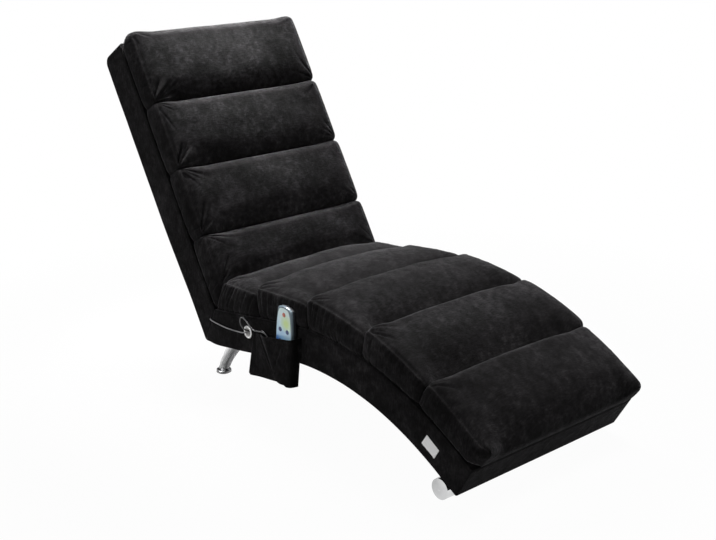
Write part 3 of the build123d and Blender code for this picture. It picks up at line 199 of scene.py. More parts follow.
class Nodes:
    """The nodes of a material or of the world, with short ways to add and to join them."""

    def __init__(self, owner):
        owner.use_nodes = True
        self.tree = owner.node_tree

    def feed(self, node, inputs):
        """Sets a node's inputs, each to a value or from another node's output."""
        for name, value in inputs.items():
            if isinstance(value, bpy.types.NodeSocket):
                self.tree.links.new(value, node.inputs[name])
            else:
                node.inputs[name].default_value = value

    def add(self, kind, output, inputs, **settings):
        """Adds a node and gives one of its outputs."""
        node = self.tree.nodes.new("ShaderNode" + kind)
        for name, value in settings.items():
            setattr(node, name, value)
        self.feed(node, inputs)
        return node.outputs[output]

    def maths(self, a, b, kind="ADD"):
        """Two outputs or numbers, added up or joined by another kind of maths."""
        return self.add("Math", 0, {0: a, 1: b}, operation=kind)

    def fit(self, value, before, after=(0.0, 1.0)):
        """A value, moved from one range to another."""
        return self.add("MapRange", "Result", {"Value": value, "From Min": before[0], "From Max": before[1],
                                               "To Min": after[0], "To Max": after[1]})

    def noise(self, coords, scale, detail, rough, stretch=None):
        """A noise texture, at a scale in features per metre."""
        if stretch is not None:
            coords = self.add("Mapping", "Vector", {"Vector": coords, "Scale": stretch})
        return self.add("TexNoise", "Fac", {"Vector": coords, "Scale": scale, "Detail": detail,
                                            "Roughness": rough})

    def ramp(self, fac, stops):
        """A colour ramp through (position, colour) stops."""
        colour = self.add("ValToRGB", "Color", {"Fac": fac})
        elements = colour.node.color_ramp.elements
        while len(elements) < len(stops):
            elements.new(0.5)
        for element, (position, shade) in zip(elements, stops):
            element.position = position
            element.color = (*shade, 1)
        return colour

    def bump(self, height, strength, distance, onto=None):
        """A bump from a height, on top of another bump's normal if one is given."""
        inputs = {"Height": height, "Strength": strength, "Distance": distance}
        if onto is not None:
            inputs["Normal"] = onto
        return self.add("Bump", "Normal", inputs)


def material(name):
    """A new material: its nodes, its main shader and the coordinates on its piece."""
    made = bpy.data.materials.new(name)
    ns = Nodes(made)
    return made, ns, ns.tree.nodes["Principled BSDF"], ns.add("TexCoord", "Object", {})


CHENILLE_TONES = [
    (0.38, (0.0012, 0.0011, 0.0011)),
    (0.46, (0.0030, 0.0028, 0.0029)),
    (0.53, (0.0068, 0.0064, 0.0067)),
    (0.62, (0.0180, 0.0168, 0.0176)),
]


def chenille(name, grain, seed=0.0, dim=1.0):
    """Charcoal chenille: a soft nap with cloudy light and dark patches and a fine pile."""
    made, ns, shader, coords = material(name)
    cloud = ns.noise(coords, 9.0 + seed, 5.0, 0.62)
    mottle = ns.noise(coords, 55.0, 4.0, 0.60)
    streak = ns.noise(coords, 60.0, 3.0, 0.55, stretch=grain)
    pile = ns.noise(coords, 700.0, 2.0, 0.7)
    tone = ns.maths(cloud, mottle)
    tone = ns.maths(tone, ns.maths(streak, 0.8, "MULTIPLY"))
    tone = ns.maths(tone, ns.maths(pile, 0.5, "MULTIPLY"))
    tone = ns.maths(tone, 3.3, "DIVIDE")
    normal = ns.bump(pile, 0.55, 0.0009)
    normal = ns.bump(streak, 0.35, 0.0022, normal)
    normal = ns.bump(mottle, 0.30, 0.0030, normal)
    tones = [(spot, [dim * part for part in shade]) for spot, shade in CHENILLE_TONES]
    ns.feed(shader, {
        "Base Color": ns.ramp(tone, tones),
        "Roughness": 0.92,
        "Specular IOR Level": 0.06,
        "Sheen Weight": ns.fit(tone, (0.40, 0.62), (0.02, 0.24)),
        "Sheen Roughness": 0.30,
        "Sheen Tint": (0.60, 0.58, 0.62, 1),
        "Normal": normal,
    })
    return made


def plastic(name, colour, dark, roughness, depth=0.00025):
    """Moulded plastic with a fine spark-eroded grain and faint handling marks."""
    made, ns, shader, coords = material(name)
    cloud = ns.noise(coords, 45.0, 3.0, 0.5)
    ns.feed(shader, {
        "Base Color": ns.ramp(cloud, [(0.35, dark), (0.65, colour)]),
        "Roughness": ns.fit(cloud, (0.0, 1.0), (roughness - 0.07, roughness + 0.10)),
        "Normal": ns.bump(ns.noise(coords, 1600.0, 3.0, 0.6), 0.25, depth),
    })
    return made


def metal(name, colour, roughness, spread, scale=30.0, brushed=None):
    """Metal with smudges in its polish, and brush lines where asked."""
    made, ns, shader, coords = material(name)
    smudge = ns.noise(coords, scale, 4.0, 0.6)
    ns.feed(shader, {
        "Base Color": ns.ramp(smudge, [(0.3, [0.86 * part for part in colour]), (0.6, colour)]),
        "Metallic": 1.0,
        "Roughness": ns.fit(smudge, (0.0, 1.0), (roughness, roughness + spread)),
    })
    if brushed is not None:
        lines = ns.noise(coords, 120.0, 2.0, 0.5, stretch=brushed)
        ns.feed(shader, {"Normal": ns.bump(lines, 0.2, 0.0002)})
    return made


def wood(name, light, dark, stretch):
    """Sawn wood with long grain."""
    made, ns, shader, coords = material(name)
    grain = ns.noise(coords, 40.0, 6.0, 0.65, stretch=stretch)
    ns.feed(shader, {
        "Base Color": ns.ramp(grain, [(0.35, dark), (0.62, light)]),
        "Roughness": 0.7,
        "Normal": ns.bump(grain, 0.3, 0.001),
    })
    return made


def cloth_weave(name, light, dark, pitch, roughness=0.9, depth=0.0006):
    """A plain woven or non-woven cloth with fine threads."""
    made, ns, shader, coords = material(name)
    across, along = (
        ns.add("TexWave", "Fac", {"Vector": coords, "Scale": pitch, "Distortion": 1.5}, bands_direction=way)
        for way in "XY")
    threads = ns.maths(across, along, "MULTIPLY")
    tone = ns.maths(ns.maths(threads, 0.4, "MULTIPLY"), ns.noise(coords, 30.0, 4.0, 0.6))
    ns.feed(shader, {
        "Base Color": ns.ramp(tone, [(0.3, dark), (0.85, light)]),
        "Roughness": roughness,
        "Sheen Weight": 0.2,
        "Normal": ns.bump(threads, 0.4, depth),
    })
    return made


# The camera, at the photograph's place
CAMERA_PLACE = (2.29327, -1.97169, 1.31230)
CAMERA_BACK = Vector((0.71785, -0.62480, 0.30712))
CAMERA_RIGHT = Vector((0.65943, 0.75167, -0.01214))
CAMERA_UP = Vector((-0.22327, 0.21124, 0.95159))
FOCAL_PIXELS = 1208.96
PICTURE_WIDTH = 716.0
SENSOR = 36.0
lens = bpy.data.cameras.new("camera")
lens.sensor_width = SENSOR
lens.sensor_fit = "HORIZONTAL"
lens.lens = FOCAL_PIXELS / PICTURE_WIDTH * SENSOR
camera = add_object("camera", lens)
turn = Matrix((CAMERA_RIGHT, CAMERA_UP, CAMERA_BACK)).transposed().to_4x4()
camera.matrix_world = Matrix.Translation(CAMERA_PLACE) @ turn
bpy.context.scene.camera = camera
bpy.context.scene.view_settings.view_transform = "Standard"

# Cords, in millimetres from the hip corner. In the pocket the cord is closer to the cover than its solid
BACK_LEAD_ROUTE = [
    (-22.9, -262.0, 194.6), (-22.9, -278.5, 194.6), (-15.0, -285.0, 193.2), (8.0, -283.6, 190.2),
    (36.0, -283.2, 188.8), (68.0, -283.6, 189.6), (98.0, -284.4, 192.6), (122.0, -287.4, 196.4),
    (138.0, -288.4, 198.8), (145.2, -281.0, 200.2), (145.8, -268.0, 200.4),
]
HANDSET_CORD_ROUTE = [
    (153.5, -266.0, 206.2), (153.5, -280.0, 206.2), (151.0, -291.5, 211.5), (143.5, -295.5, 221.0),
    (139.5, -296.5, 232.0), (142.5, -297.0, 243.5), (153.5, -297.0, 248.5), (165.0, -297.0, 243.5),
    (175.5, -297.0, 236.0), (187.0, -297.0, 229.0), (200.5, -297.0, 225.0), (215.0, -297.0, 226.5),
    (230.0, -294.5, 229.5), (243.5, -291.0, 225.0), (251.5, -290.5, 212.0), (256.0, -290.5, 197.0),
    (261.0, -290.0, 182.0), (268.0, -289.0, 168.0), (278.0, -288.0, 157.0), (287.4, -286.5, 148.0),
    (287.4, -285.0, 142.0),
]
CORD_TAIL = [(318.5, -286.7, 146.2), (318.8, -286.7, 151.2)]
COIL_PLACE = (301.7, 136.0)
COIL_RADIUS = 14.3
COIL_TURNS = 3.5
COIL_PITCH = -4.2
COIL_CORNERS = 8
LEAD_DIAMETER = 0.003
CORD_DIAMETER = 0.004
CORD_SIDES = 14


def coil_route():
    """The corners of the spare cord's turns in the pocket."""
    half_step = pi / COIL_CORNERS
    x, z = COIL_PLACE
    start = HANDSET_CORD_ROUTE[-1][1]
    reach = COIL_RADIUS / cos(half_step)
    route = []
    for corner in range(round(COIL_CORNERS * COIL_TURNS)):
        angle = pi + half_step * (2 * corner + 1)
        y = start + COIL_PITCH * (corner + 0.5) / COIL_CORNERS
        route.append((x + reach * cos(angle), y, z + reach * sin(angle)))
    last = start + COIL_PITCH * COIL_TURNS
    return route + [(x + COIL_RADIUS, last, z + COIL_RADIUS * tan(half_step))]


def nurbs(name, route, diameter, look):
    """A cord's curve, with the route's points as its control points."""
    curve = bpy.data.curves.new(name, "CURVE")
    curve.dimensions = "3D"
    curve.resolution_u = 10
    curve.bevel_depth = diameter / 2
    curve.bevel_resolution = 5
    curve.use_fill_caps = True
    spline = curve.splines.new("NURBS")
    spline.points.add(len(route) - 1)
    for point, spot in zip(spline.points, route):
        point.co = (*place(*spot), 1)
    spline.order_u = 3
    spline.use_endpoint_u = True
    curve.materials.append(look)
    return add_object(name, curve)


def spline_line(route):
    """The points of a route's own spline."""
    bare = nurbs("bare_line", route, 0.0, grey_jacket)
    curve, mesh = bare.data, bpy.data.meshes.new_from_object(bare)
    line = [tuple(vertex.co) for vertex in mesh.vertices]
    bpy.data.objects.remove(bare)
    bpy.data.curves.remove(curve)
    bpy.data.meshes.remove(mesh)
    return line


def tube(name, line, diameter, look):
    """A round mesh tube along a line, its rings turned as little as they can be."""
    spots = [Vector(p) for p in line]
    ways = [(b - a).normalized() for a, b in zip(spots, spots[1:])]
    ways = [ways[0]] + [(a + b).normalized() for a, b in zip(ways, ways[1:])] + [ways[-1]]
    side = ways[0].orthogonal().normalized()
    points = []
    for spot, way in zip(spots, ways):
        side = (side - way * side.dot(way)).normalized()
        up = way.cross(side)
        for n in range(CORD_SIDES):
            turn = 2 * pi * n / CORD_SIDES
            points.append(spot + (side * cos(turn) + up * sin(turn)) * diameter / 2)
    return mesh_piece(name, points, ring_faces(0, len(spots), CORD_SIDES), look)


grey_jacket = plastic("grey_jacket", (0.30, 0.30, 0.31), (0.20, 0.20, 0.21), 0.32)
black_jacket = plastic("black_jacket", (0.060, 0.060, 0.062), (0.040, 0.040, 0.042), 0.16)
back_lead = nurbs("back_lead_cord", BACK_LEAD_ROUTE, LEAD_DIAMETER, grey_jacket)
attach(back_lead, "frame")
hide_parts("back_lead")
cord_line = spline_line(HANDSET_CORD_ROUTE + coil_route() + CORD_TAIL)
handset_cord = tube("handset_cord_run", cord_line, CORD_DIAMETER, black_jacket)
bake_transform(handset_cord)
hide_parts("handset_cord", "handset_cord_coil")

fabric = chenille("charcoal_chenille", grain=(9.0, 1.2, 1.2))
side_fabric = chenille("charcoal_chenille_sides", grain=(9.0, 9.0, 0.9), seed=1.0)

# Padded channels. Each is a closed form, as wide as the chair, with boxed ends
PAD_CELLS_ACROSS = 72
PAD_WALL_CELLS = 10
PAD_EDGE_STEP = 0.0022
PAD_EDGE_CELLS = 22
PAD_MIDDLE_CELLS = 80
PAD_EVEN_SHARE = 0.45
PAD_FOOT = 0.0006
PAD_LUMPS = [(0.0042, 0.150, 0), (0.0022, 0.055, 40)]
WALL_SHARE = 0.50
FRONT_PART = 0.55
END_PART = 0.085
END_WALL = 0.80
END_RADIUS = 0.015
END_DROP = 0.10
END_FALL = 0.05
CORNER_INSET = 0.007
INSET_REACH = 0.03
ROUND_FROM = 0.66
BOX_BULGE = 0.0045
BOX_TUCK = 0.0050
END_ROLL = 0.048
LONG_ROLL = 0.200
FAR_TILT = 0.35
CREASE_LEAN = 0.06
GATHER_MARGIN = 0.012
GATHER_DEPTH = 0.0030
FOLD_DEPTH = 0.0034
FOLD_SHARES = {(0, -1): 1.7, (0, 1): 1.7 * 0.35, (1, -1): 0.7, (1, 1): 0.7 * 0.35}
OVERHANG_WIDTH = 0.022
END_SEAM = {"welt": (0.0020, 0.0032), "dip": (0.0020, 0.0085, 0.0034), "tucks": (0.0016, 0.012, 0.008),
            "tuck_size": 0.012, "tuck_stretch": 0.4, "own_seed": 7}
TOP_SEAM = {"welt": (0.0024, 0.0022), "dip": (0.0030, 0.0060, 0.0040), "tucks": (0.0024, 0.014, 0.013),
            "tuck_size": 0.016, "tuck_stretch": 0.35, "own_seed": 9}
SEAM_WANDER = (0.0020, 0.060, 8)
LEAN_SHARE = 0.55


def stations():
    """Places along y from end to end, closer together near the boxed ends."""
    edge = [PAD_EDGE_STEP * n for n in range(PAD_EDGE_CELLS)]
    start = PAD_EDGE_STEP * PAD_EDGE_CELLS
    middle = np.linspace(-HALF_WIDTH + start, HALF_WIDTH - start, PAD_MIDDLE_CELLS + 1)
    low = [-HALF_WIDTH + step for step in edge]
    return np.concatenate([low, middle, [-step for step in reversed(low)]])


def spread(count, share):
    """Places from 0 to 1, partly even and partly closer together at both ends."""
    even = np.linspace(0, 1, count + 1)
    return share * even + (1 - share) * (1 - np.cos(pi * even)) / 2


def creases(along, up, rng, count, low, high):
    """Narrow upright folds in a boxed end: how far each point goes in."""
    total = np.zeros_like(along)
    for _ in range(count):
        centre = rng.uniform(low, high)
        lean = rng.uniform(-0.18, 0.18)
        width = rng.uniform(0.0014, 0.0032)
        reach = rng.uniform(0.45, 1.0)
        from_top = rng.random() < 0.65
        fade = smooth(up, 1 - reach, 1.0) if from_top else 1 - smooth(up, 0.0, reach)
        line = along - centre - lean * (up - 0.5) * CREASE_LEAN
        total += GATHER_DEPTH * rng.uniform(0.4, 1.0) * fade * bell(line, width)
    return total


def corner_folds(across, y, length, rng, corner, side, depth, count):
    """Folds that fan out from a corner of a channel: how far each point on top goes in."""
    dx = across if corner == 0 else length - across
    dy = HALF_WIDTH - side * y
    away = np.hypot(dx, dy)
    turn = np.arctan2(dx, dy)
    total = np.zeros_like(across)
    for _ in range(count):
        middle = rng.uniform(0.25, 1.25)
        width = rng.uniform(0.035, 0.080)
        reach = rng.uniform(0.05, 0.12)
        line = turn - middle - rng.uniform(-0.5, 0.5) * away
        fade = smooth(away, 0.006, 0.022) * (1 - smooth(away, 0.45 * reach, reach))
        total += depth * rng.uniform(0.4, 1.0) * fade * bell(line, width)
    return total


def seam_form(distance, flat, seed, welt, dip, tucks, tuck_size, tuck_stretch, own_seed):
    """A raised seam with a drawn-in line and small tucks beside it, by the distance from it.

    welt, dip and tucks say how high, how far away and how wide each is; the welt is on the seam itself.
    """
    waved = waves(flat * (1, tuck_stretch, 1), tuck_size, seed + own_seed)
    form = welt[0] * bell(distance, welt[1]) - dip[0] * bell(distance - dip[1], dip[2])
    return form + tucks[0] * waved * bell(distance - tucks[1], tucks[2])


def shoulder(distance, radius):
    """A rounded shoulder: 0 at the side, 1 from one radius in."""
    return np.sqrt(1 - (1 - np.clip(distance / radius, 0, 1)) ** 2)


def channel(name, point, start, end, crown, end_share, seed, radii, folds, gathers, peak, lip=0.0,
            arching=0.0, front_wall=WALL_SHARE, seam=0.0, tilt=0.0, fall=0.16, front_round=0.0):
    """A padded channel between two sides of the deck; start and end say where it ends at each height.

    arching is the share of the height that rises slowly from the ends to the middle, front_wall the upright
    share of its last side, and seam how far in from the near end a raised seam runs across the top. tilt is
    how much higher its first side is than its last, fall how arched its top is, peak how far that arch is
    off the middle, lip how far it hangs over its neighbour, and front_round how far the corners of its last
    side are drawn in. folds is how strong the folds from its corners are, gathers how many run down its ends.
    """
    rng = np.random.default_rng(seed)
    ys = stations()
    across = spread(PAD_CELLS_ACROSS, PAD_EVEN_SHARE)
    corners, faces = lattice(PAD_CELLS_ACROSS, PAD_WALL_CELLS, len(ys) - 1)
    a = across[corners[:, 0]]
    b = 2 * a - 1
    up = corners[:, 1] / PAD_WALL_CELLS
    y = ys[corners[:, 2]]
    on_top = corners[:, 1] == PAD_WALL_CELLS
    on_end = (corners[:, 2] == 0) | (corners[:, 2] == len(ys) - 1)
    off = HALF_WIDTH - np.abs(y)
    middle = smooth(off, 0.0, END_PART)
    # The height of the top: rolled down at its sides and ends, arched between them.
    half_up = np.full_like(a, 0.5 * crown)
    length = end(half_up) - start(half_up)
    lay = a * length
    rise = (1 - arching) * shoulder(off, END_ROLL) + arching * np.sin(np.clip(off / LONG_ROLL, 0, 1) * pi / 2)
    roll = end_share + (1 - end_share) * rise * (1 - END_DROP * (y / HALF_WIDTH) ** 4)
    first = END_RADIUS + (radii[0] - END_RADIUS) * middle
    last = END_RADIUS + (radii[1] - END_RADIUS) * middle
    sides = shoulder(lay, first) * shoulder(length - lay, last)
    swell = sides * (1 - (END_FALL + fall * middle) * (b - peak) ** 2)
    upright_share = WALL_SHARE + (front_wall - WALL_SHARE) * smooth(a, FRONT_PART, 1.0)
    wall = END_WALL + (upright_share - END_WALL) * middle
    leaned = 1 + tilt * (0.5 - a) * (1 - (1 - FAR_TILT) * smooth(y, 0.05, HALF_WIDTH))
    h = PAD_FOOT + up * (crown * roll * (wall + (1 - wall) * swell) * leaned)
    begin = start(h)
    length = end(h) - begin
    lay = a * length
    # Fullness that varies along the channel, and folds where the corners are drawn in.
    flat = np.stack([lay, y, np.zeros_like(y)], axis=-1)
    inner = smooth(off, 0.004, 0.05) * swell
    h = h + np.where(on_top, layered_waves(flat, PAD_LUMPS, seed) * inner, 0)
    for (corner, toward), share in FOLD_SHARES.items():
        count = int(rng.integers(3, 6)) + (2 if (corner, toward) == (0, -1) else 0)
        dent = corner_folds(lay, y, length, rng, corner, toward, FOLD_DEPTH * folds * share, count)
        h = h - np.where(on_top, dent * smooth(sides, 0.1, 0.7), 0)
    # The seam round each boxed end, or further in across the top at the near end.
    ridge = seam_form(off, flat, seed, **END_SEAM)
    if seam > 0:
        inward = off - seam - layered_waves(flat, [SEAM_WANDER], seed)
        ridge = np.where(y < 0, seam_form(inward, flat, seed, **TOP_SEAM), ridge)
    h = h + np.where(on_top, ridge * smooth(sides, 0.2, 0.7), 0)
    # The fuller side hangs over its neighbour a little, and the ends bulge between their gathers.
    over = lip * bell(lay, OVERHANG_WIDTH) * smooth(h / (crown * roll), 0.35, 0.75) * middle
    drawn = np.where(y < 0, front_round, 0) * np.clip((b - ROUND_FROM) / (1 - ROUND_FROM), 0, 1) ** 2
    inset = CORNER_INSET * np.abs(b) ** 9 + drawn
    bulge = BOX_BULGE * (4 * up * (1 - up)) ** 0.7 * (1 - b * b) ** 0.3
    tuck = BOX_TUCK * (1 - smooth(up, 0.0, 0.25))
    gather = creases(lay, up, rng, gathers, GATHER_MARGIN, float(length.max()) - GATHER_MARGIN)
    out = np.where(on_end, bulge - tuck - gather * smooth(1 - np.abs(b), 0.01, 0.06), 0)
    reach = np.abs(y) - inset * smooth(1 - off / INSET_REACH, 0, 1) + out
    return mesh_piece(name, point(begin + lay - over, h, np.sign(y) * reach), faces, fabric)


def upright(where):
    """The side of a channel that stands square to the deck."""
    return lambda h: np.full_like(h, where)


def leaning(where, overhang, crown):
    """The side of the last channel, which leans out past the end of the frame."""
    return lambda h: where + overhang * np.sin(np.clip(h / (LEAN_SHARE * crown), 0, 1) * pi / 2)


def channel_sides(number, count, length, overhang, crown):
    """Where channel number of count starts and ends along a deck."""
    pitch = length / count
    start = mitre if number == 0 else upright(number * pitch + PAD_GAP)
    last_one = number == count - 1
    return start, leaning(length, overhang, crown) if last_one else upright((number + 1) * pitch - PAD_GAP)


PAD_GAP = 0.0004
BACK_CHANNELS = 4
SEAT_CHANNELS = 5
BACK_CROWN = 0.078
SEAT_CROWN = 0.092
BACK_OVERHANG = 0.016
SEAT_OVERHANG = 0.006
END_SHARE = 0.70
LAST_END_SHARE = 0.54
BACK_SEED = 11
SEAT_SEED = 31
SEAT_EXTRA = (0.005, 0.006, 0.004, 0.0, 0.0)
SEAT_FALL = (0.44, 0.44, 0.38, 0.28, 0.14)
channels = []
for number in range(BACK_CHANNELS):
    start, end = channel_sides(number, BACK_CHANNELS, BACK_LENGTH, BACK_OVERHANG, BACK_CROWN)
    name = f"back_channel_{number + 1}"
    piece = channel(name + "_pad", back_point, start, end, BACK_CROWN, END_SHARE, BACK_SEED + number,
                    radii=(0.070, 0.026), folds=1.6, gathers=6, peak=0.25, lip=0.004)
    channels.append((piece, name))
for number in range(SEAT_CHANNELS):
    start, end = channel_sides(number, SEAT_CHANNELS, SEAT_LENGTH, SEAT_OVERHANG, SEAT_CROWN)
    last_one = number == SEAT_CHANNELS - 1
    name = f"seat_channel_{number + 1}"
    crown = SEAT_CROWN + SEAT_EXTRA[number]
    end_share = (LAST_END_SHARE if last_one else END_SHARE) * SEAT_CROWN / crown
    piece = channel(name + "_pad", seat_point, start, end, crown, end_share, SEAT_SEED + number,
                    radii=(0.026, 0.080 if last_one else 0.130), folds=0.4, gathers=34 if number < 3 else 22,
                    peak=-0.32, arching=0.45, front_wall=0.22, seam=0.006 if last_one else 0.0,
                    tilt=0.12 if last_one else 0.24, fall=SEAT_FALL[number],
                    front_round=0.018 if last_one else 0.0)
    channels.append((piece, name))
for piece, name in channels:
    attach(piece, "frame")
    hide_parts(name)

# Fabric covers round the two modules: single layers, open to the deck
COVER_EDGE_RADIUS = 0.0045
COVER_EDGE_STEPS = [0.0, 0.0012, 0.0027, COVER_EDGE_RADIUS, 0.012]
COVER_DEPTH_STATIONS = 16
COVER_WIDTH_STATIONS = 40
COVER_RIPPLES = [(0.0011, 0.030, 0), (0.0010, 0.075, 5)]
COVER_UNDER_WAVE = (0.0008, 0.09, 9)
COVER_FULLER_FROM = (0.02, 0.30)
COVER_SAG_START = 0.040
COVER_SAG_FADE = (0.10, 0.28)
COVER_END_REACH = 0.10
COVER_MESH_THICKNESS = 0.0016
DECK_WRAP = 0.030
DECK_LIFT = 0.0008
HEM_WIDTH = 0.060
BAR_PLACE = 0.1121
HEAD_STATIONS = [0.956, 0.962, 0.968, 0.974, 0.980, 0.985, 0.989, 0.992, 0.9950, 0.9965, 0.9985, 1.0]
HEEL_TOP = HEEL_RADIUS * (1 - sin(HALF_HIP_ANGLE)) - FRAME_DEPTH + 0.004
DUST_OVERLAP = 0.015
DUST_EDGE = HEM_WIDTH - DUST_OVERLAP
PUNCH_DEPTH = 0.020
PUNCH_SIDES = 40


def heel(h):
    """Where a module starts at depth h: the mitre, and below it the rounded heel."""
    centre_h = HEEL_RADIUS - FRAME_DEPTH
    down = np.clip(centre_h - h, 0, HEEL_RADIUS)
    arc = mitre(centre_h) - np.sqrt(np.maximum(HEEL_RADIUS ** 2 - down ** 2, 0))
    turned = down > HEEL_RADIUS * sin(HALF_HIP_ANGLE)
    return np.where(turned, arc, mitre(h))


def pulled_in(size, radius):
    """The share by which a point that lies size from a corner's centre is drawn onto its radius."""
    return np.where(size > radius, radius / np.maximum(size, 1e-9), 1.0)


def cover(name, point, length, cells, seed, hem=None, fuller=0.0, sag=0.0, head_radius=0.0):
    """The fabric round a module. hem is the opening in its underside, as (start, end) along the deck.

    fuller is how much the wadding under it adds at the underside and past the end board, sag how far its
    lower edges hang near the hip, and head_radius how round its lower end is.
    """
    edge = COVER_EDGE_STEPS
    high = list(np.linspace(-0.012, -FRAME_DEPTH + 0.012, COVER_DEPTH_STATIONS))
    low = [-FRAME_DEPTH + step for step in (0.008, *reversed(edge[:4]))]
    hs = np.array([0.0, *high, *low])
    middle = list(np.linspace(-HALF_WIDTH + 0.02, HALF_WIDTH - 0.02, COVER_WIDTH_STATIONS))
    ys = np.array([-HALF_WIDTH + e for e in edge] + middle + [HALF_WIDTH - e for e in reversed(edge)])
    if hem is not None:
        for line in (-HALF_WIDTH + HEM_WIDTH, HALF_WIDTH - HEM_WIDTH):
            ys[np.argmin(np.abs(ys - line))] = line
    along = np.concatenate([[0, 0.004, 0.010], np.linspace(0.02, 0.95, cells), HEAD_STATIONS])
    corners, faces = lattice(len(along) - 1, len(hs) - 1, len(ys) - 1)
    a = along[corners[:, 0]]
    h = hs[corners[:, 1]]
    y = ys[corners[:, 2]]
    begin = heel(h)
    s = begin + a * (length - begin)
    on_deck, under, at_hip = corners[:, 1] == 0, corners[:, 1] == len(hs) - 1, corners[:, 0] == 0
    # Left open: the deck inside its wrapped edges, the underside inside its hem, and the mitre.
    keep = []
    for face in faces:
        ring = list(face)
        s_mid, y_mid = np.mean(s[ring]), abs(np.mean(y[ring]))
        if on_deck[ring].all() and y_mid < HALF_WIDTH - DECK_WRAP and s_mid < length - DECK_WRAP:
            continue
        if hem and under[ring].all() and hem[0] < s_mid < hem[1] and y_mid < HALF_WIDTH - HEM_WIDTH:
            continue
        if not (at_hip[ring].all() and h[ring].max() > HEEL_TOP):
            keep.append(face)
    # Rounded edges: points near an edge are drawn onto a rounded box.
    r = COVER_EDGE_RADIUS
    far = np.minimum(length - r, s)
    low = np.maximum(-FRAME_DEPTH + r, h)
    mid = np.clip(y, -HALF_WIDTH + r, HALF_WIDTH - r)
    ds, dh, dy = s - far, h - low, y - mid
    scale = pulled_in(np.sqrt(ds * ds + dh * dh + dy * dy), r)
    s, h, y = far + ds * scale, low + dh * scale, mid + dy * scale
    # The fabric is loose on the boards: long soft ripples on the sides.
    h = h + np.where(on_deck, DECK_LIFT, 0)
    on_side = smooth(np.abs(y), HALF_WIDTH - 0.009, HALF_WIDTH - 0.001)
    flat = np.stack([s, h * 0.25, np.sign(y) * 0.3], axis=-1)
    fade = smooth(-h, 0.004, 0.02) * smooth(FRAME_DEPTH + h, 0.0, 0.02)
    y = y + np.sign(y) * on_side * fade * layered_waves(flat, COVER_RIPPLES, seed)
    # Fuller below and past the end, hanging near the hip, and rounded at the lower end.
    near_edge = smooth(np.abs(y), HALF_WIDTH - DUST_EDGE, HALF_WIDTH - 0.012)
    h = h - fuller * smooth(s, *COVER_FULLER_FROM) * smooth(-h, 0.0, FRAME_DEPTH)
    near_hip = smooth(s - begin, 0.0, COVER_SAG_START) * (1 - smooth(s, *COVER_SAG_FADE))
    h = h - sag * near_edge * near_hip * smooth(-h, 0.0, FRAME_DEPTH)
    s = s + fuller * smooth(s, length - COVER_END_REACH, length)
    if head_radius > 0:
        end_s, end_h = length + fuller - head_radius, -FRAME_DEPTH - fuller + head_radius
        past, below = np.maximum(s - end_s, 0), np.maximum(end_h - h, 0)
        pull = pulled_in(np.hypot(past, below), head_radius)
        s = np.where(past > 0, end_s + past * pull, s)
        h = np.where(below > 0, end_h - below * pull, h)
    flat = np.stack([s, y, np.zeros_like(y)], axis=-1)
    h = h + smooth(-h, FRAME_DEPTH - 0.004, FRAME_DEPTH) * layered_waves(flat, [COVER_UNDER_WAVE], seed)
    used = sorted({c for face in keep for c in face})
    renumber = {c: n for n, c in enumerate(used)}
    keep = [tuple(renumber[c] for c in face) for face in keep]
    piece = mesh_piece(name, point(s, h, y)[used], keep, side_fabric)
    outward(piece, point(length / 2, -FRAME_DEPTH / 2))
    thicken(piece, COVER_MESH_THICKNESS)
    return piece


def punch(piece, x, z, radius):
    """Cuts a round hole through the sitter's right side of a cover, at a place from the hip corner."""
    mesh = bmesh.new()
    turn = Matrix.Translation(place(x, -1000 * HALF_WIDTH, z)) @ Matrix.Rotation(pi / 2, 4, "X")
    bmesh.ops.create_cone(mesh, cap_ends=True, segments=PUNCH_SIDES, radius1=radius, radius2=radius,
                          depth=PUNCH_DEPTH, matrix=turn)
    data = bpy.data.meshes.new("punch")
    mesh.to_mesh(data)
    mesh.free()
    cut = piece.modifiers.new("hole", "BOOLEAN")
    cut.operation = "DIFFERENCE"
    cut.solver = "EXACT"
    cut.object = add_object("punch", data)
    made = evaluated_mesh(piece)
    bpy.data.objects.remove(cut.object)
    piece.modifiers.clear()
    piece.data = made
    made.materials.clear()
    made.materials.append(side_fabric)
    made.polygons.foreach_set("use_smooth", [True] * len(made.polygons))


def outward(piece, centre):
    """Turns a piece's faces away from a point inside it."""
    mesh = bmesh.new()
    mesh.from_mesh(piece.data)
    bmesh.ops.recalc_face_normals(mesh, faces=mesh.faces)
    total = 0.0
    for face in mesh.faces:
        total += face.normal.dot(face.calc_center_median() - Vector(centre)) * face.calc_area()
    if total < 0:
        bmesh.ops.reverse_faces(mesh, faces=mesh.faces)
    mesh.to_mesh(piece.data)
    mesh.free()


back_cover = cover("back_cover_fabric", back_point, BACK_LENGTH, 70, 3, fuller=0.010, head_radius=0.033)
punch(back_cover, -22.9, 194.6, 0.0022)
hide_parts("back_cover")
seat_cover = cover("seat_cover_fabric", seat_point, SEAT_LENGTH, 90, 4,
                   hem=(HEM_WIDTH, SEAT_LENGTH - BAR_PLACE), sag=0.006)
punch(seat_cover, 150.2, 202.3, 0.0132)
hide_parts("seat_cover")
for piece in (back_cover, seat_cover):
    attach(piece, "frame")
for piece, _ in channels:
    low, high = Vector(piece.bound_box[0]), Vector(piece.bound_box[6])
    outward(piece, (low + high) / 2)

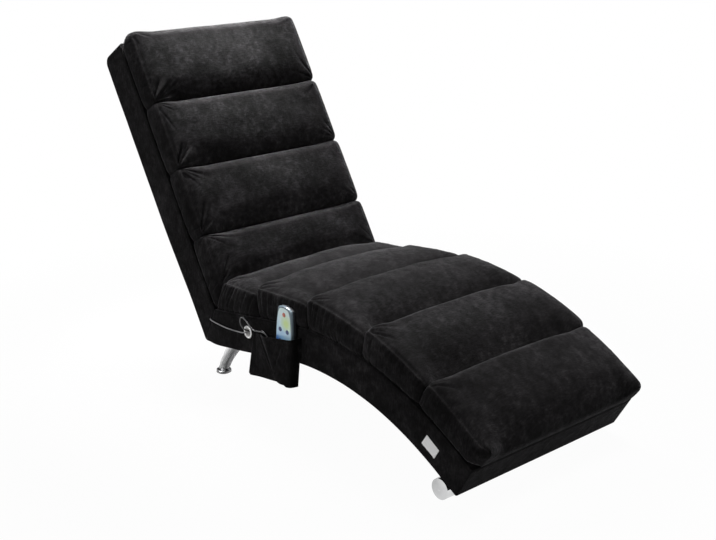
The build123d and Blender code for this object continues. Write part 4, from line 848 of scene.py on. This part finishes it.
# The side pocket: one folded sheet, with a gusset that slants across its front
POCKET_PLACE = (0.263, 0.1623)
POCKET_SLOPE = radians(10.0)
POCKET_HALF = 0.104
POCKET_HEIGHT = 0.126
POCKET_SKEW = 0.040
POCKET_CLEARANCE = 0.0003
POCKET_SHEET = 0.0014
POCKET_MOUTH_DEPTH = 0.031
POCKET_FLOOR_DEPTH = 0.028
POCKET_FLOOR_RADIUS = 0.007
POCKET_FLOOR_TURNS = 6
POCKET_LEFT = -1.04
POCKET_DRAWN = 0.13
POCKET_RIDGE = (0.25, -0.60)
POCKET_RIDGE_DEPTH = (0.010, 0.013)
POCKET_SWELL = ([0.0, 0.12, 1.0], [0.66, 0.28, 0.50])
POCKET_CHEEK = ([0.0, 0.5, 0.85, 0.93, 0.97, 0.99, 1.0], [1.0, 0.985, 0.95, 0.87, 0.66, 0.36, 0.05])
POCKET_CRUMPLE = [(0.0008, 0.035, 71), (0.0005, 0.014, 72)]
POCKET_CORNER_RISE = 0.006
POCKET_LEFT_END = (0.07, 0.04)
POCKET_FOLD_FOOT = (0.40, 0.30, 0.013)
POCKET_CREST = (0.026, 0.070)
POCKET_PULL = (0.045, 0.055)
POCKET_MOUTH_RISE = 0.003
POCKET_HEM = 0.011
POCKET_HEM_RAISE = 0.0007
POCKET_STITCH_DEPTH = 0.0006
POCKET_BACK_DEPTH = 0.0015
FRONT_ROWS = 44
FLOOR_ROWS = 12
BACK_ROWS = 14
POCKET_COLUMNS = 72


def beside(middle, slope, across, up, off):
    """A point off the sitter's right side, across and up a leaning rectangle round a middle."""
    return (HIP_X + middle[0] + across * cos(slope) - up * sin(slope), MIDDLE_Y - HALF_WIDTH - off,
            middle[1] + across * sin(slope) + up * cos(slope))


def pocket_point(u, v, depth):
    """A point of the pocket: u across from -1 to 1, v up from 0 to 1, and how far off the cover."""
    return beside(POCKET_PLACE, POCKET_SLOPE, POCKET_SKEW * (v - 0.5) + u * POCKET_HALF,
                  (v - 0.5) * POCKET_HEIGHT, POCKET_CLEARANCE + depth)


def pocket_depth(u, v):
    """How far the front of the pocket stands off: a gusset up to a slanted ridge, then the front."""
    full = POCKET_FLOOR_DEPTH + (POCKET_MOUTH_DEPTH - POCKET_FLOOR_DEPTH) * v
    ridge = POCKET_RIDGE[0] + (POCKET_RIDGE[1] - POCKET_RIDGE[0]) * v
    low = (POCKET_RIDGE_DEPTH[0] + (POCKET_RIDGE_DEPTH[1] - POCKET_RIDGE_DEPTH[0]) * v) / full
    reach = float(np.interp(v, *POCKET_SWELL))
    gusset = low * np.clip((u - POCKET_LEFT) / (ridge - POCKET_LEFT), 0, 1)
    swelled = gusset + (1 - low) * float(smooth(u, ridge + 0.03, ridge + reach))
    width, strength = POCKET_PULL
    pull = strength * bell(u - 0.36 - 0.50 * (v - 0.45), width) * smooth(v, 0.25, 0.5)
    width, height = POCKET_CREST
    front = np.interp(u, *POCKET_CHEEK) - pull * (1 - smooth(v, 0.75, 0.95))
    return full * (min(swelled, front) + height * bell(u - ridge, width))


def pocket_floor(u):
    """How high the pocket's bottom line lies: it rises to the left, and a little at the fold's foot."""
    corner = POCKET_CORNER_RISE / POCKET_HEIGHT * smooth(0.95 - u, 0.0, 1.6)
    reach, rise = POCKET_LEFT_END
    foot, width, height = POCKET_FOLD_FOOT
    return float(corner + rise * smooth(POCKET_LEFT + reach - u, 0.0, reach) + height * bell(u - foot, width))


def pocket():
    """The pocket's sheet: down its back, across its floor and up its front to the hem."""
    points = []
    for u in np.linspace(POCKET_LEFT, 1.0, POCKET_COLUMNS + 1):
        low = pocket_floor(u)
        top = 1 + POCKET_MOUTH_RISE / POCKET_HEIGHT * float(smooth(u, -0.75, 0.2))
        floor_depth = float(pocket_depth(u, 0.0))
        radius = min(POCKET_FLOOR_RADIUS, 0.45 * floor_depth)
        line = [(v, POCKET_BACK_DEPTH) for v in np.linspace(1.0, low + 0.02, BACK_ROWS)]
        line += [(low, d) for d in np.linspace(0.002, max(floor_depth - radius, 0.0022), FLOOR_ROWS)]
        for step in range(1, POCKET_FLOOR_TURNS):
            turn = step / POCKET_FLOOR_TURNS * pi / 2
            line.append((low + radius * (1 - cos(turn)) / POCKET_HEIGHT,
                         floor_depth - radius * (1 - sin(turn))))
        for v in np.linspace(low + radius / POCKET_HEIGHT, top, FRONT_ROWS):
            depth = float(pocket_depth(u, min(v, 1.0)))
            from_hem = (top - v) * POCKET_HEIGHT - POCKET_HEM
            hem = POCKET_HEM_RAISE * float(1 - smooth(from_hem, -0.0012, 0.0004))
            hem -= POCKET_STITCH_DEPTH * bell(from_hem, 0.0012)
            depth += hem * float(smooth(depth, 0.002, 0.01))
            line.append((v, max(depth, POCKET_BACK_DEPTH + 0.0001)))
        drawn = POCKET_DRAWN * float(smooth(-u, 0.3, 1.0))
        points.append([pocket_point(u + drawn * v, v, depth) for v, depth in line])
    flat = np.array(points).reshape(-1, 3)
    off = MIDDLE_Y - HALF_WIDTH - POCKET_CLEARANCE - flat[:, 1]
    flat[:, 1] += layered_waves(flat, POCKET_CRUMPLE) * smooth(off, 0.004, 0.012)
    faces = grid_faces(POCKET_COLUMNS, len(points[0]) - 1)
    piece = mesh_piece("side_pocket_sheet", flat, faces, pocket_fabric)
    thicken(piece, POCKET_SHEET)
    return piece


def facing(piece, way):
    """Turns a sheet's faces so that most of them look one way."""
    total = sum((face.normal.dot(Vector(way)) * face.area for face in piece.data.polygons), 0.0)
    if total < 0:
        piece.data.flip_normals()


pocket_fabric = chenille("charcoal_chenille_pocket", grain=(9.0, 9.0, 0.9), seed=2.0, dim=0.75)
side_pocket = pocket()
facing(side_pocket, (0, -1, 0))
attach(side_pocket, "frame")
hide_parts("side_pocket")


# The blank tag, the dust cover and the felts
def sheet_piece(name, columns, rows, spot, look, thickness, way):
    """A sheet of columns by rows cells, where spot gives each corner's place for a and b from 0 to 1."""
    points = [spot(a / columns, b / rows) for a in range(columns + 1) for b in range(rows + 1)]
    piece = mesh_piece(name, points, grid_faces(columns, rows), look)
    facing(piece, way)
    thicken(piece, thickness)
    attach(piece, "frame")
    return piece


TAG_PLACE = (0.8233, 0.1187)
TAG_SLOPE = radians(-32.5)
TAG_SIZE = (0.046, 0.029)
TAG_LIFT = 0.0008
TAG_RISE = 0.0012
TAG_HEM = 0.0002
TAG_STITCH = 0.00035


def tag_spot(a, b):
    """A place on the tag, which lies on the cover and lifts a little at its free edge."""
    lift = TAG_LIFT + TAG_RISE * (1 - b) ** 2 * (0.5 + 0.5 * sin(5 * a + 0.6))
    hem = TAG_HEM if min(a, 1 - a) < 0.09 else 0.0
    stitch = TAG_STITCH * float(bell(b - 0.93, 0.03)) * (0.6 + 0.4 * sin(90 * a))
    return beside(TAG_PLACE, TAG_SLOPE, (a - 0.5) * TAG_SIZE[0], (b - 0.5) * TAG_SIZE[1], lift + hem - stitch)


tape = cloth_weave("white_tape_weave", (0.90, 0.90, 0.90), (0.80, 0.80, 0.80), 900.0)
tag = sheet_piece("side_tag_tape", 40, 24, tag_spot, tape, 0.0006, (0, -1, 0))
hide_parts("side_tag")

DUST_SAG = 0.0016
BAR_END = BAR_PLACE - DUST_OVERLAP


def dust_spot(a, b):
    """A place on the dust cover, which is tacked round its edge and sags between."""
    start, end = DUST_EDGE, SEAT_LENGTH - BAR_END
    s = start + a * (end - start)
    half = HALF_WIDTH - DUST_EDGE
    y = (2 * b - 1) * half
    inside = min(a * (end - start), (1 - a) * (end - start), half - abs(y))
    sag = DUST_SAG * float(smooth(inside, 0.004, 0.09)) * (0.7 + 0.3 * sin(31 * s) * cos(23 * y))
    tack = 0.0004 * float(np.cos(inside / 0.004)) * float(1 - smooth(inside, 0.004, 0.016))
    return tuple(seat_point(s, -FRAME_DEPTH - 0.0010 - sag - tack, y))


dust_cloth = cloth_weave("black_dust_cloth", (0.030, 0.030, 0.032), (0.012, 0.012, 0.013), 350.0)
dust_cover = sheet_piece("dust_cover_sheet", 96, 60, dust_spot, dust_cloth, 0.0007, (0, 0, -1))
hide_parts("underside_dust_cover")

FELT_RADIUS = 0.01881
FELT_SIDES = 48
FELT_FUZZ = 0.012
FELT_PROFILE = [(0.4, 0.0), (0.75, 0.0), (0.93, 0.0), (0.985, 0.0004), (1.0, 0.0010), (0.985, 0.0016),
                (0.93, 0.0020), (0.6, 0.0020)]
LEG_SETBACK = 0.0793
LEG_SPREAD = HALF_WIDTH - 0.075


def felt_pads():
    """The two felt discs under the rear feet, with pressed, fuzzy edges."""
    points, faces = [], []
    for y in (-LEG_SPREAD, LEG_SPREAD):
        faces += ring_faces(len(points), len(FELT_PROFILE), FELT_SIDES)
        for share, z in FELT_PROFILE:
            for n in range(FELT_SIDES):
                turn = 2 * pi * n / FELT_SIDES
                spot = Vector((7 * cos(turn), 7 * sin(turn), 400 * z + y * 50))
                radius = FELT_RADIUS * share * (1 + (FELT_FUZZ * noise.noise(spot) if share > 0.9 else 0))
                points.append((HIP_X - LEG_SETBACK + radius * cos(turn), MIDDLE_Y + y + radius * sin(turn),
                               z))
    return mesh_piece("rear_foot_felt_pads", points, faces, felt_cloth)


felt_cloth = cloth_weave("grey_felt", (0.14, 0.13, 0.12), (0.07, 0.065, 0.06), 700.0, roughness=0.95)
felts = felt_pads()
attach(felts, "frame")
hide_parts("rear_foot_felts")

# Foam and webbing inside
FOAM_VOXEL = 0.007
FOAM_SOFTENING = 3
FOAM_SKIN = (0.0004, 0.02, 81)
FOAM_INSET = 0.0006
WEB_WIDTH = 0.050
WEB_PITCH = 0.076
WEB_TOP = 0.0453
WEB_SHEET = 0.0015
WEB_SAG = 0.0012
WEB_EDGE = 0.0002
WEB_HALF = 0.2595
WEB_CELLS = (6, 1, 28)


def foam_piece(node, name):
    """A module's foam, cut like its solid, with softened edges and an open-celled skin."""
    rough = add_object(name + "_rough", nodes[node].data.copy())
    remesh = rough.modifiers.new("remesh", "REMESH")
    remesh.mode = "VOXEL"
    remesh.voxel_size = FOAM_VOXEL
    rough.modifiers.new("soften", "SMOOTH").iterations = FOAM_SOFTENING
    made = evaluated_mesh(rough)
    bpy.data.objects.remove(rough)
    points = np.array([vertex.co for vertex in made.vertices])
    normals = np.array([vertex.normal for vertex in made.vertices])
    points += normals * (layered_waves(points, [FOAM_SKIN]) - FOAM_INSET)[:, None]
    piece = mesh_piece(name, points, [tuple(face.vertices) for face in made.polygons], foam_look)
    bpy.data.meshes.remove(made)
    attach(piece, "frame")
    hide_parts(node)


def webbing():
    """The elastic straps under the foam, a little sagged, each with thickened edges."""
    corners, faces = lattice(*WEB_CELLS)
    points, all_faces = [], []
    for point, start, count in ((back_point, 0.070, 9), (seat_point, 0.060, 12)):
        for number in range(count):
            a = corners[:, 0] / WEB_CELLS[0]
            y = (2 * corners[:, 2] / WEB_CELLS[2] - 1) * WEB_HALF
            sag = WEB_SAG * (1 - (y / WEB_HALF) ** 2)
            edge = WEB_EDGE * (np.abs(2 * a - 1) > 0.9)
            h = -WEB_TOP - sag - (1 - corners[:, 1]) * (WEB_SHEET + edge)
            first = len(points)
            points.extend(point(start + WEB_PITCH * number + a * WEB_WIDTH, h, y))
            all_faces.extend(tuple(first + corner for corner in face) for face in faces)
    return mesh_piece("webbing_bands", points, all_faces, web_look)


foam_look = cloth_weave("open_cell_foam", (0.62, 0.58, 0.44), (0.48, 0.44, 0.32), 500.0, depth=0.0010)
web_look = cloth_weave("elastic_webbing", (0.24, 0.22, 0.19), (0.12, 0.11, 0.10), 260.0)
foam_piece("back_foam", "back_foam_slab")
foam_piece("seat_foam", "seat_foam_slab")
bands = webbing()
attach(bands, "frame")
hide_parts("webbing_straps")

# The finishes of the CAD nodes that stay
PANELS = [f"{module}_side_panel_{side}" for module in ("back", "seat") for side in ("left", "right")]
finishes = [
    (wood("birch_plywood", (0.52, 0.38, 0.24), (0.36, 0.25, 0.15), (1.0, 12.0, 6.0)),
     PANELS + ["seat_foot_board", "seat_middle_rail", "back_middle_rail"]),
    (wood("sawn_pine", (0.62, 0.46, 0.28), (0.46, 0.31, 0.17), (9.0, 0.8, 9.0)),
     ["back_top_rail", "back_mitre_rail", "seat_mitre_rail", "seat_front_rail", "webbing_cleats",
      "leg_blocks", "foot_bar_saddles"]),
    (metal("polished_chrome", (0.74, 0.745, 0.75), 0.045, 0.05, scale=22.0),
     ["rear_legs", "foot_bar", "foot_bar_caps"]),
    (metal("zinc_plated_steel", (0.50, 0.52, 0.55), 0.32, 0.12, brushed=(6.0, 6.0, 0.6)),
     ["joint_bolts", "joint_nuts", "wood_screws", "massage_motors"]),
    (metal("sintered_bronze", (0.46, 0.34, 0.20), 0.40, 0.15, scale=60.0),
     [f"massage_rotor_{number}" for number in range(1, 6)]),
    (plastic("white_gloss_plastic", (0.86, 0.86, 0.85), (0.78, 0.78, 0.77), 0.16, depth=0.00008),
     ["cord_grommet"]),
    (plastic("black_moulded_plastic", (0.028, 0.028, 0.030), (0.018, 0.018, 0.019), 0.45),
     ["massage_pod_cases", "massage_pod_lids", "power_inlet"]),
    (plastic("wire_insulation", (0.030, 0.030, 0.032), (0.018, 0.018, 0.019), 0.35), ["wiring_harness"]),
    (plastic("graphite_shell_plastic", (0.050, 0.052, 0.058), (0.032, 0.034, 0.038), 0.28),
     ["handset_back_shell"]),
    (plastic("silver_shell_plastic", (0.16, 0.21, 0.24), (0.12, 0.16, 0.19), 0.22, depth=0.00012),
     ["handset_front_shell"]),
    (plastic("red_key_plastic", (0.46, 0.14, 0.09), (0.38, 0.10, 0.07), 0.30, depth=0.0001),
     ["handset_power_key"]),
    (plastic("blue_key_plastic", (0.030, 0.050, 0.16), (0.022, 0.036, 0.12), 0.30, depth=0.0001),
     [f"handset_{key}_key" for key in ("upper_left", "upper_right", "lower_left", "lower_right")]),
    (plastic("circuit_board_mask", (0.020, 0.16, 0.07), (0.012, 0.11, 0.05), 0.25, depth=0.0001),
     ["handset_circuit_board"]),
]
for look, names in finishes:
    for name in names:
        for holder in nodes[name].material_slots:
            holder.material = look

# The handset's printed film, on its front face, with a hole round each key
HANDSET_PLACE = (0.325, 0.2395)
HANDSET_LEAN = radians(4.0)
HANDSET_BACK = 0.0022
HANDSET_THICKNESS = 0.016
HANDSET_HALF_LENGTH = 0.0825
HANDSET_BOW = 0.00495
HANDSET_HALF_WIDTHS = (0.0245, 0.032, 0.0255)
FILM_INSET = 0.0036
FILM_THICKNESS = 0.0003
FILM_GAP = 0.00002
FILM_CORNER = 0.16
FILM_TONES = [(0.30, (0.05, 0.17, 0.50)), (0.46, (0.26, 0.48, 0.74)), (0.70, (0.46, 0.63, 0.72)),
              (1.00, (0.56, 0.69, 0.68))]
FILM_RISE = (3.0, 0, 7.0)
FILM_PATCH = (0.012, MIDDLE_Y - HALF_WIDTH - HANDSET_BACK - HANDSET_THICKNESS, 0.040)
FILM_PATCH_EDGE = (0.026, 0.006)
KEY_SPOTS = [(0.0, 0.062), (-0.014, 0.020), (0.014, 0.020), (-0.014, -0.011), (0.014, -0.011)]
KEY_HOLE = 0.0061
KEY_HOLE_SIDES = 32


def handset_matrix():
    """From the handset's own axes to the row frame: x across, y up, z out of its front face."""
    lean = HANDSET_LEAN
    right = Vector((cos(lean), 0, -sin(lean)))
    up = Vector((sin(lean), 0, cos(lean)))
    turn = Matrix((right, up, Vector((0, -1, 0)))).transposed().to_4x4()
    return Matrix.Translation((HIP_X + HANDSET_PLACE[0], MIDDLE_Y - HALF_WIDTH - HANDSET_BACK,
                               HANDSET_PLACE[1])) @ turn


def arc(start, top, end, ts):
    """Points of the curve that leaves start and reaches end towards top, at the shares ts of its way."""
    start, top, end = (np.array(p) for p in (start, top, end))
    return [tuple((1 - t) ** 2 * start + 2 * t * (1 - t) * top + t * t * end) for t in ts]


def bow(start, middle, end, count):
    """Points along a shallow curve through three points, without its ends' corners."""
    top = 2 * np.array(middle) - (np.array(start) + np.array(end)) / 2
    return arc(start, top, end, np.linspace(FILM_CORNER, 1 - FILM_CORNER, count))


def film_outline():
    """The film's outline, with rounded corners."""
    top, side, tail = (half - FILM_INSET for half in HANDSET_HALF_WIDTHS)
    half = HANDSET_HALF_LENGTH - FILM_INSET
    low = half - HANDSET_BOW
    corners = [(-top, low), (top, low), (tail, -low), (-tail, -low)]
    middles = [((0, half), 14), ((side, 0), 20), ((0, -half), 14), ((-side, 0), 20)]
    ends = corners[1:] + corners[:1]
    runs = [bow(start, middle, end, count) for start, (middle, count), end in zip(corners, middles, ends)]
    outline = []
    for run, corner, after in zip(runs, ends, runs[1:] + runs[:1]):
        outline += run + arc(run[-1], corner, after[0], np.linspace(0.2, 0.8, 4))
    return outline


def film():
    """The film as a thin plate with holes."""
    curve = bpy.data.curves.new("film", "CURVE")
    curve.dimensions = "2D"
    curve.fill_mode = "BOTH"
    curve.extrude = FILM_THICKNESS / 2
    turns = np.linspace(0, 2 * pi, KEY_HOLE_SIDES + 1)[:-1]
    rounds = [[(x + KEY_HOLE * cos(t), y + KEY_HOLE * sin(t)) for t in turns] for x, y in KEY_SPOTS]
    for outline in [film_outline()] + rounds:
        spline = curve.splines.new("POLY")
        spline.points.add(len(outline) - 1)
        for point, (x, y) in zip(spline.points, outline):
            point.co = (x, y, 0, 1)
        spline.use_cyclic_u = True
    holder = add_object("film", curve)
    mesh = bpy.data.meshes.new_from_object(holder)
    bpy.data.objects.remove(holder)
    bpy.data.curves.remove(curve)
    level = HANDSET_THICKNESS + FILM_THICKNESS / 2 + FILM_GAP
    mesh.transform(handset_matrix() @ Matrix.Translation((0, 0, level)))
    mesh.materials.clear()
    mesh.materials.append(film_look())
    mesh.name = "handset_film"
    return add_object("handset_film", mesh)


def film_look():
    """Glossy printed film that fades from blue at the bottom to pale blue, with a yellow-green patch."""
    made, ns, shader, coords = material("printed_film")
    here = ns.add("VectorMath", "Vector", {0: coords, 1: (HIP_X + HANDSET_PLACE[0], 0, HANDSET_PLACE[1])},
                  operation="SUBTRACT")
    up = ns.add("VectorMath", "Value", {0: here, 1: FILM_RISE}, operation="DOT_PRODUCT")
    cloud = ns.maths(ns.maths(ns.noise(coords, 38.0, 3.0, 0.5), -0.5), 0.5, "MULTIPLY")
    colour = ns.ramp(ns.maths(ns.maths(up, 0.5), cloud), FILM_TONES)
    away = ns.add("VectorMath", "Value", {0: here, 1: FILM_PATCH}, operation="DISTANCE")
    ns.feed(shader, {
        "Base Color": ns.add("Mix", "Result", {"Factor": ns.fit(away, FILM_PATCH_EDGE), "A": colour,
                                               "B": (0.50, 0.66, 0.26, 1)}, data_type="RGBA"),
        "Roughness": 0.20,
        "Coat Weight": 0.5,
        "Coat Roughness": 0.06,
        "Normal": ns.bump(ns.noise(coords, 2500.0, 2.0, 0.5), 0.08, 0.00005),
    })
    return made


handset_film = film()
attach(handset_film, "handset")

# White floor and world, and soft lamps
FLOOR_SIZE = 14.0
FLOOR_DIFFUSE = 0.28
FLOOR_GLOW = 0.97
FLOOR_GLOW_FADE = (0.9, 1.7)
FLOOR_MIRRORED = 0.02
FLOOR_MIRROR_FADE = (0.40, 0.72)
AMBIENT = 0.11
AMBIENT_SKY = [(0.0, (0.60, 0.62, 0.65)), (0.06, (0.10, 0.10, 0.11)), (0.22, (0.14, 0.14, 0.15)),
               (0.45, (1.0, 1.0, 1.0))]
MIRRORED_SKY = [(0.0, (0.95, 0.96, 0.98)), (0.12, (0.80, 0.81, 0.83)), (0.17, (0.035, 0.033, 0.030)),
                (0.48, (0.05, 0.05, 0.05)), (0.62, (0.75, 0.76, 0.78))]


def floor_look():
    """White to the eye, with soft shadows near the chair, and dark near it in the chrome's reflections."""
    made, ns, shader, coords = material("floor_white")
    ns.feed(shader, {"Base Color": (FLOOR_DIFFUSE, FLOOR_DIFFUSE, FLOOR_DIFFUSE, 1), "Roughness": 0.9,
                     "Specular IOR Level": 0.1})
    away = ns.add("VectorMath", "Value", {0: coords}, operation="LENGTH")
    mirrored = ns.maths(ns.add("LightPath", "Is Glossy Ray", {}),
                        ns.fit(away, FLOOR_MIRROR_FADE, (FLOOR_MIRRORED, 1.0)), "MULTIPLY")
    seen = ns.maths(ns.add("LightPath", "Is Camera Ray", {}), mirrored, "MAXIMUM")
    glow = ns.maths(seen, ns.fit(away, FLOOR_GLOW_FADE, (FLOOR_GLOW, 1.0)), "MULTIPLY")
    white = ns.add("Emission", 0, {"Strength": 1.0})
    surface = ns.add("MixShader", 0, {0: glow, 1: shader.outputs[0], 2: white})
    ns.feed(ns.tree.nodes["Material Output"], {"Surface": surface})
    return made


def sky(world):
    """White to the camera, a low light all round for the chair, and light and dark bands for its chrome."""
    ns = Nodes(world)
    height = ns.add("SeparateXYZ", "Z", {"Vector": ns.add("TexCoord", "Generated", {})})
    ambient = ns.tree.nodes["Background"]
    ns.feed(ambient, {"Color": ns.ramp(height, AMBIENT_SKY), "Strength": AMBIENT})
    mirrored = ns.add("Background", 0, {"Color": ns.ramp(height, MIRRORED_SKY)})
    clear = ns.add("Background", 0, {"Color": (1, 1, 1, 1), "Strength": 1.0})
    glossy, camera_ray, through = (ns.add("LightPath", f"Is {kind} Ray", {})
                                   for kind in ("Glossy", "Camera", "Transmission"))
    light = ns.add("MixShader", 0, {0: glossy, 1: ambient.outputs[0], 2: mirrored})
    surface = ns.add("MixShader", 0, {0: ns.maths(camera_ray, through, "MAXIMUM"), 1: light, 2: clear})
    ns.feed(ns.tree.nodes["World Output"], {"Surface": surface})


def lamp(name, spot, aim, size, power, spread=pi):
    """A square soft lamp at a spot, aimed at a point."""
    light = bpy.data.lights.new(name, "AREA")
    light.size = size
    light.spread = spread
    light.energy = power
    holder = add_object(name, light)
    holder.location = spot
    holder.rotation_euler = (Vector(aim) - Vector(spot)).to_track_quat("-Z", "Y").to_euler()


half = FLOOR_SIZE / 2
floor = mesh_piece("floor", [(-half, -half, 0), (half, -half, 0), (half, half, 0), (-half, half, 0)],
                   [(0, 1, 2, 3)], floor_look(), smooth_faces=False)
bpy.context.scene.world = bpy.data.worlds.new("world")
sky(bpy.context.scene.world)
lamp("top", (-0.78, 0.05, 1.38), (-0.57, 0.0, 0.38), 0.5, 15, spread=radians(55))
lamp("rear", (-1.35, 1.0, 1.9), (0.15, 0.0, 0.35), 0.8, 74)
lamp("fore", (0.7, 0.5, 2.0), (0.42, 0.1, 0.35), 0.8, 14, spread=radians(80))
lamp("front", (2.6, -2.4, 2.2), (0.1, 0.0, 0.4), 1.6, 7)
lamp("side", (-0.6, -3.2, 1.4), (-0.1, 0.0, 0.4), 1.2, 50)
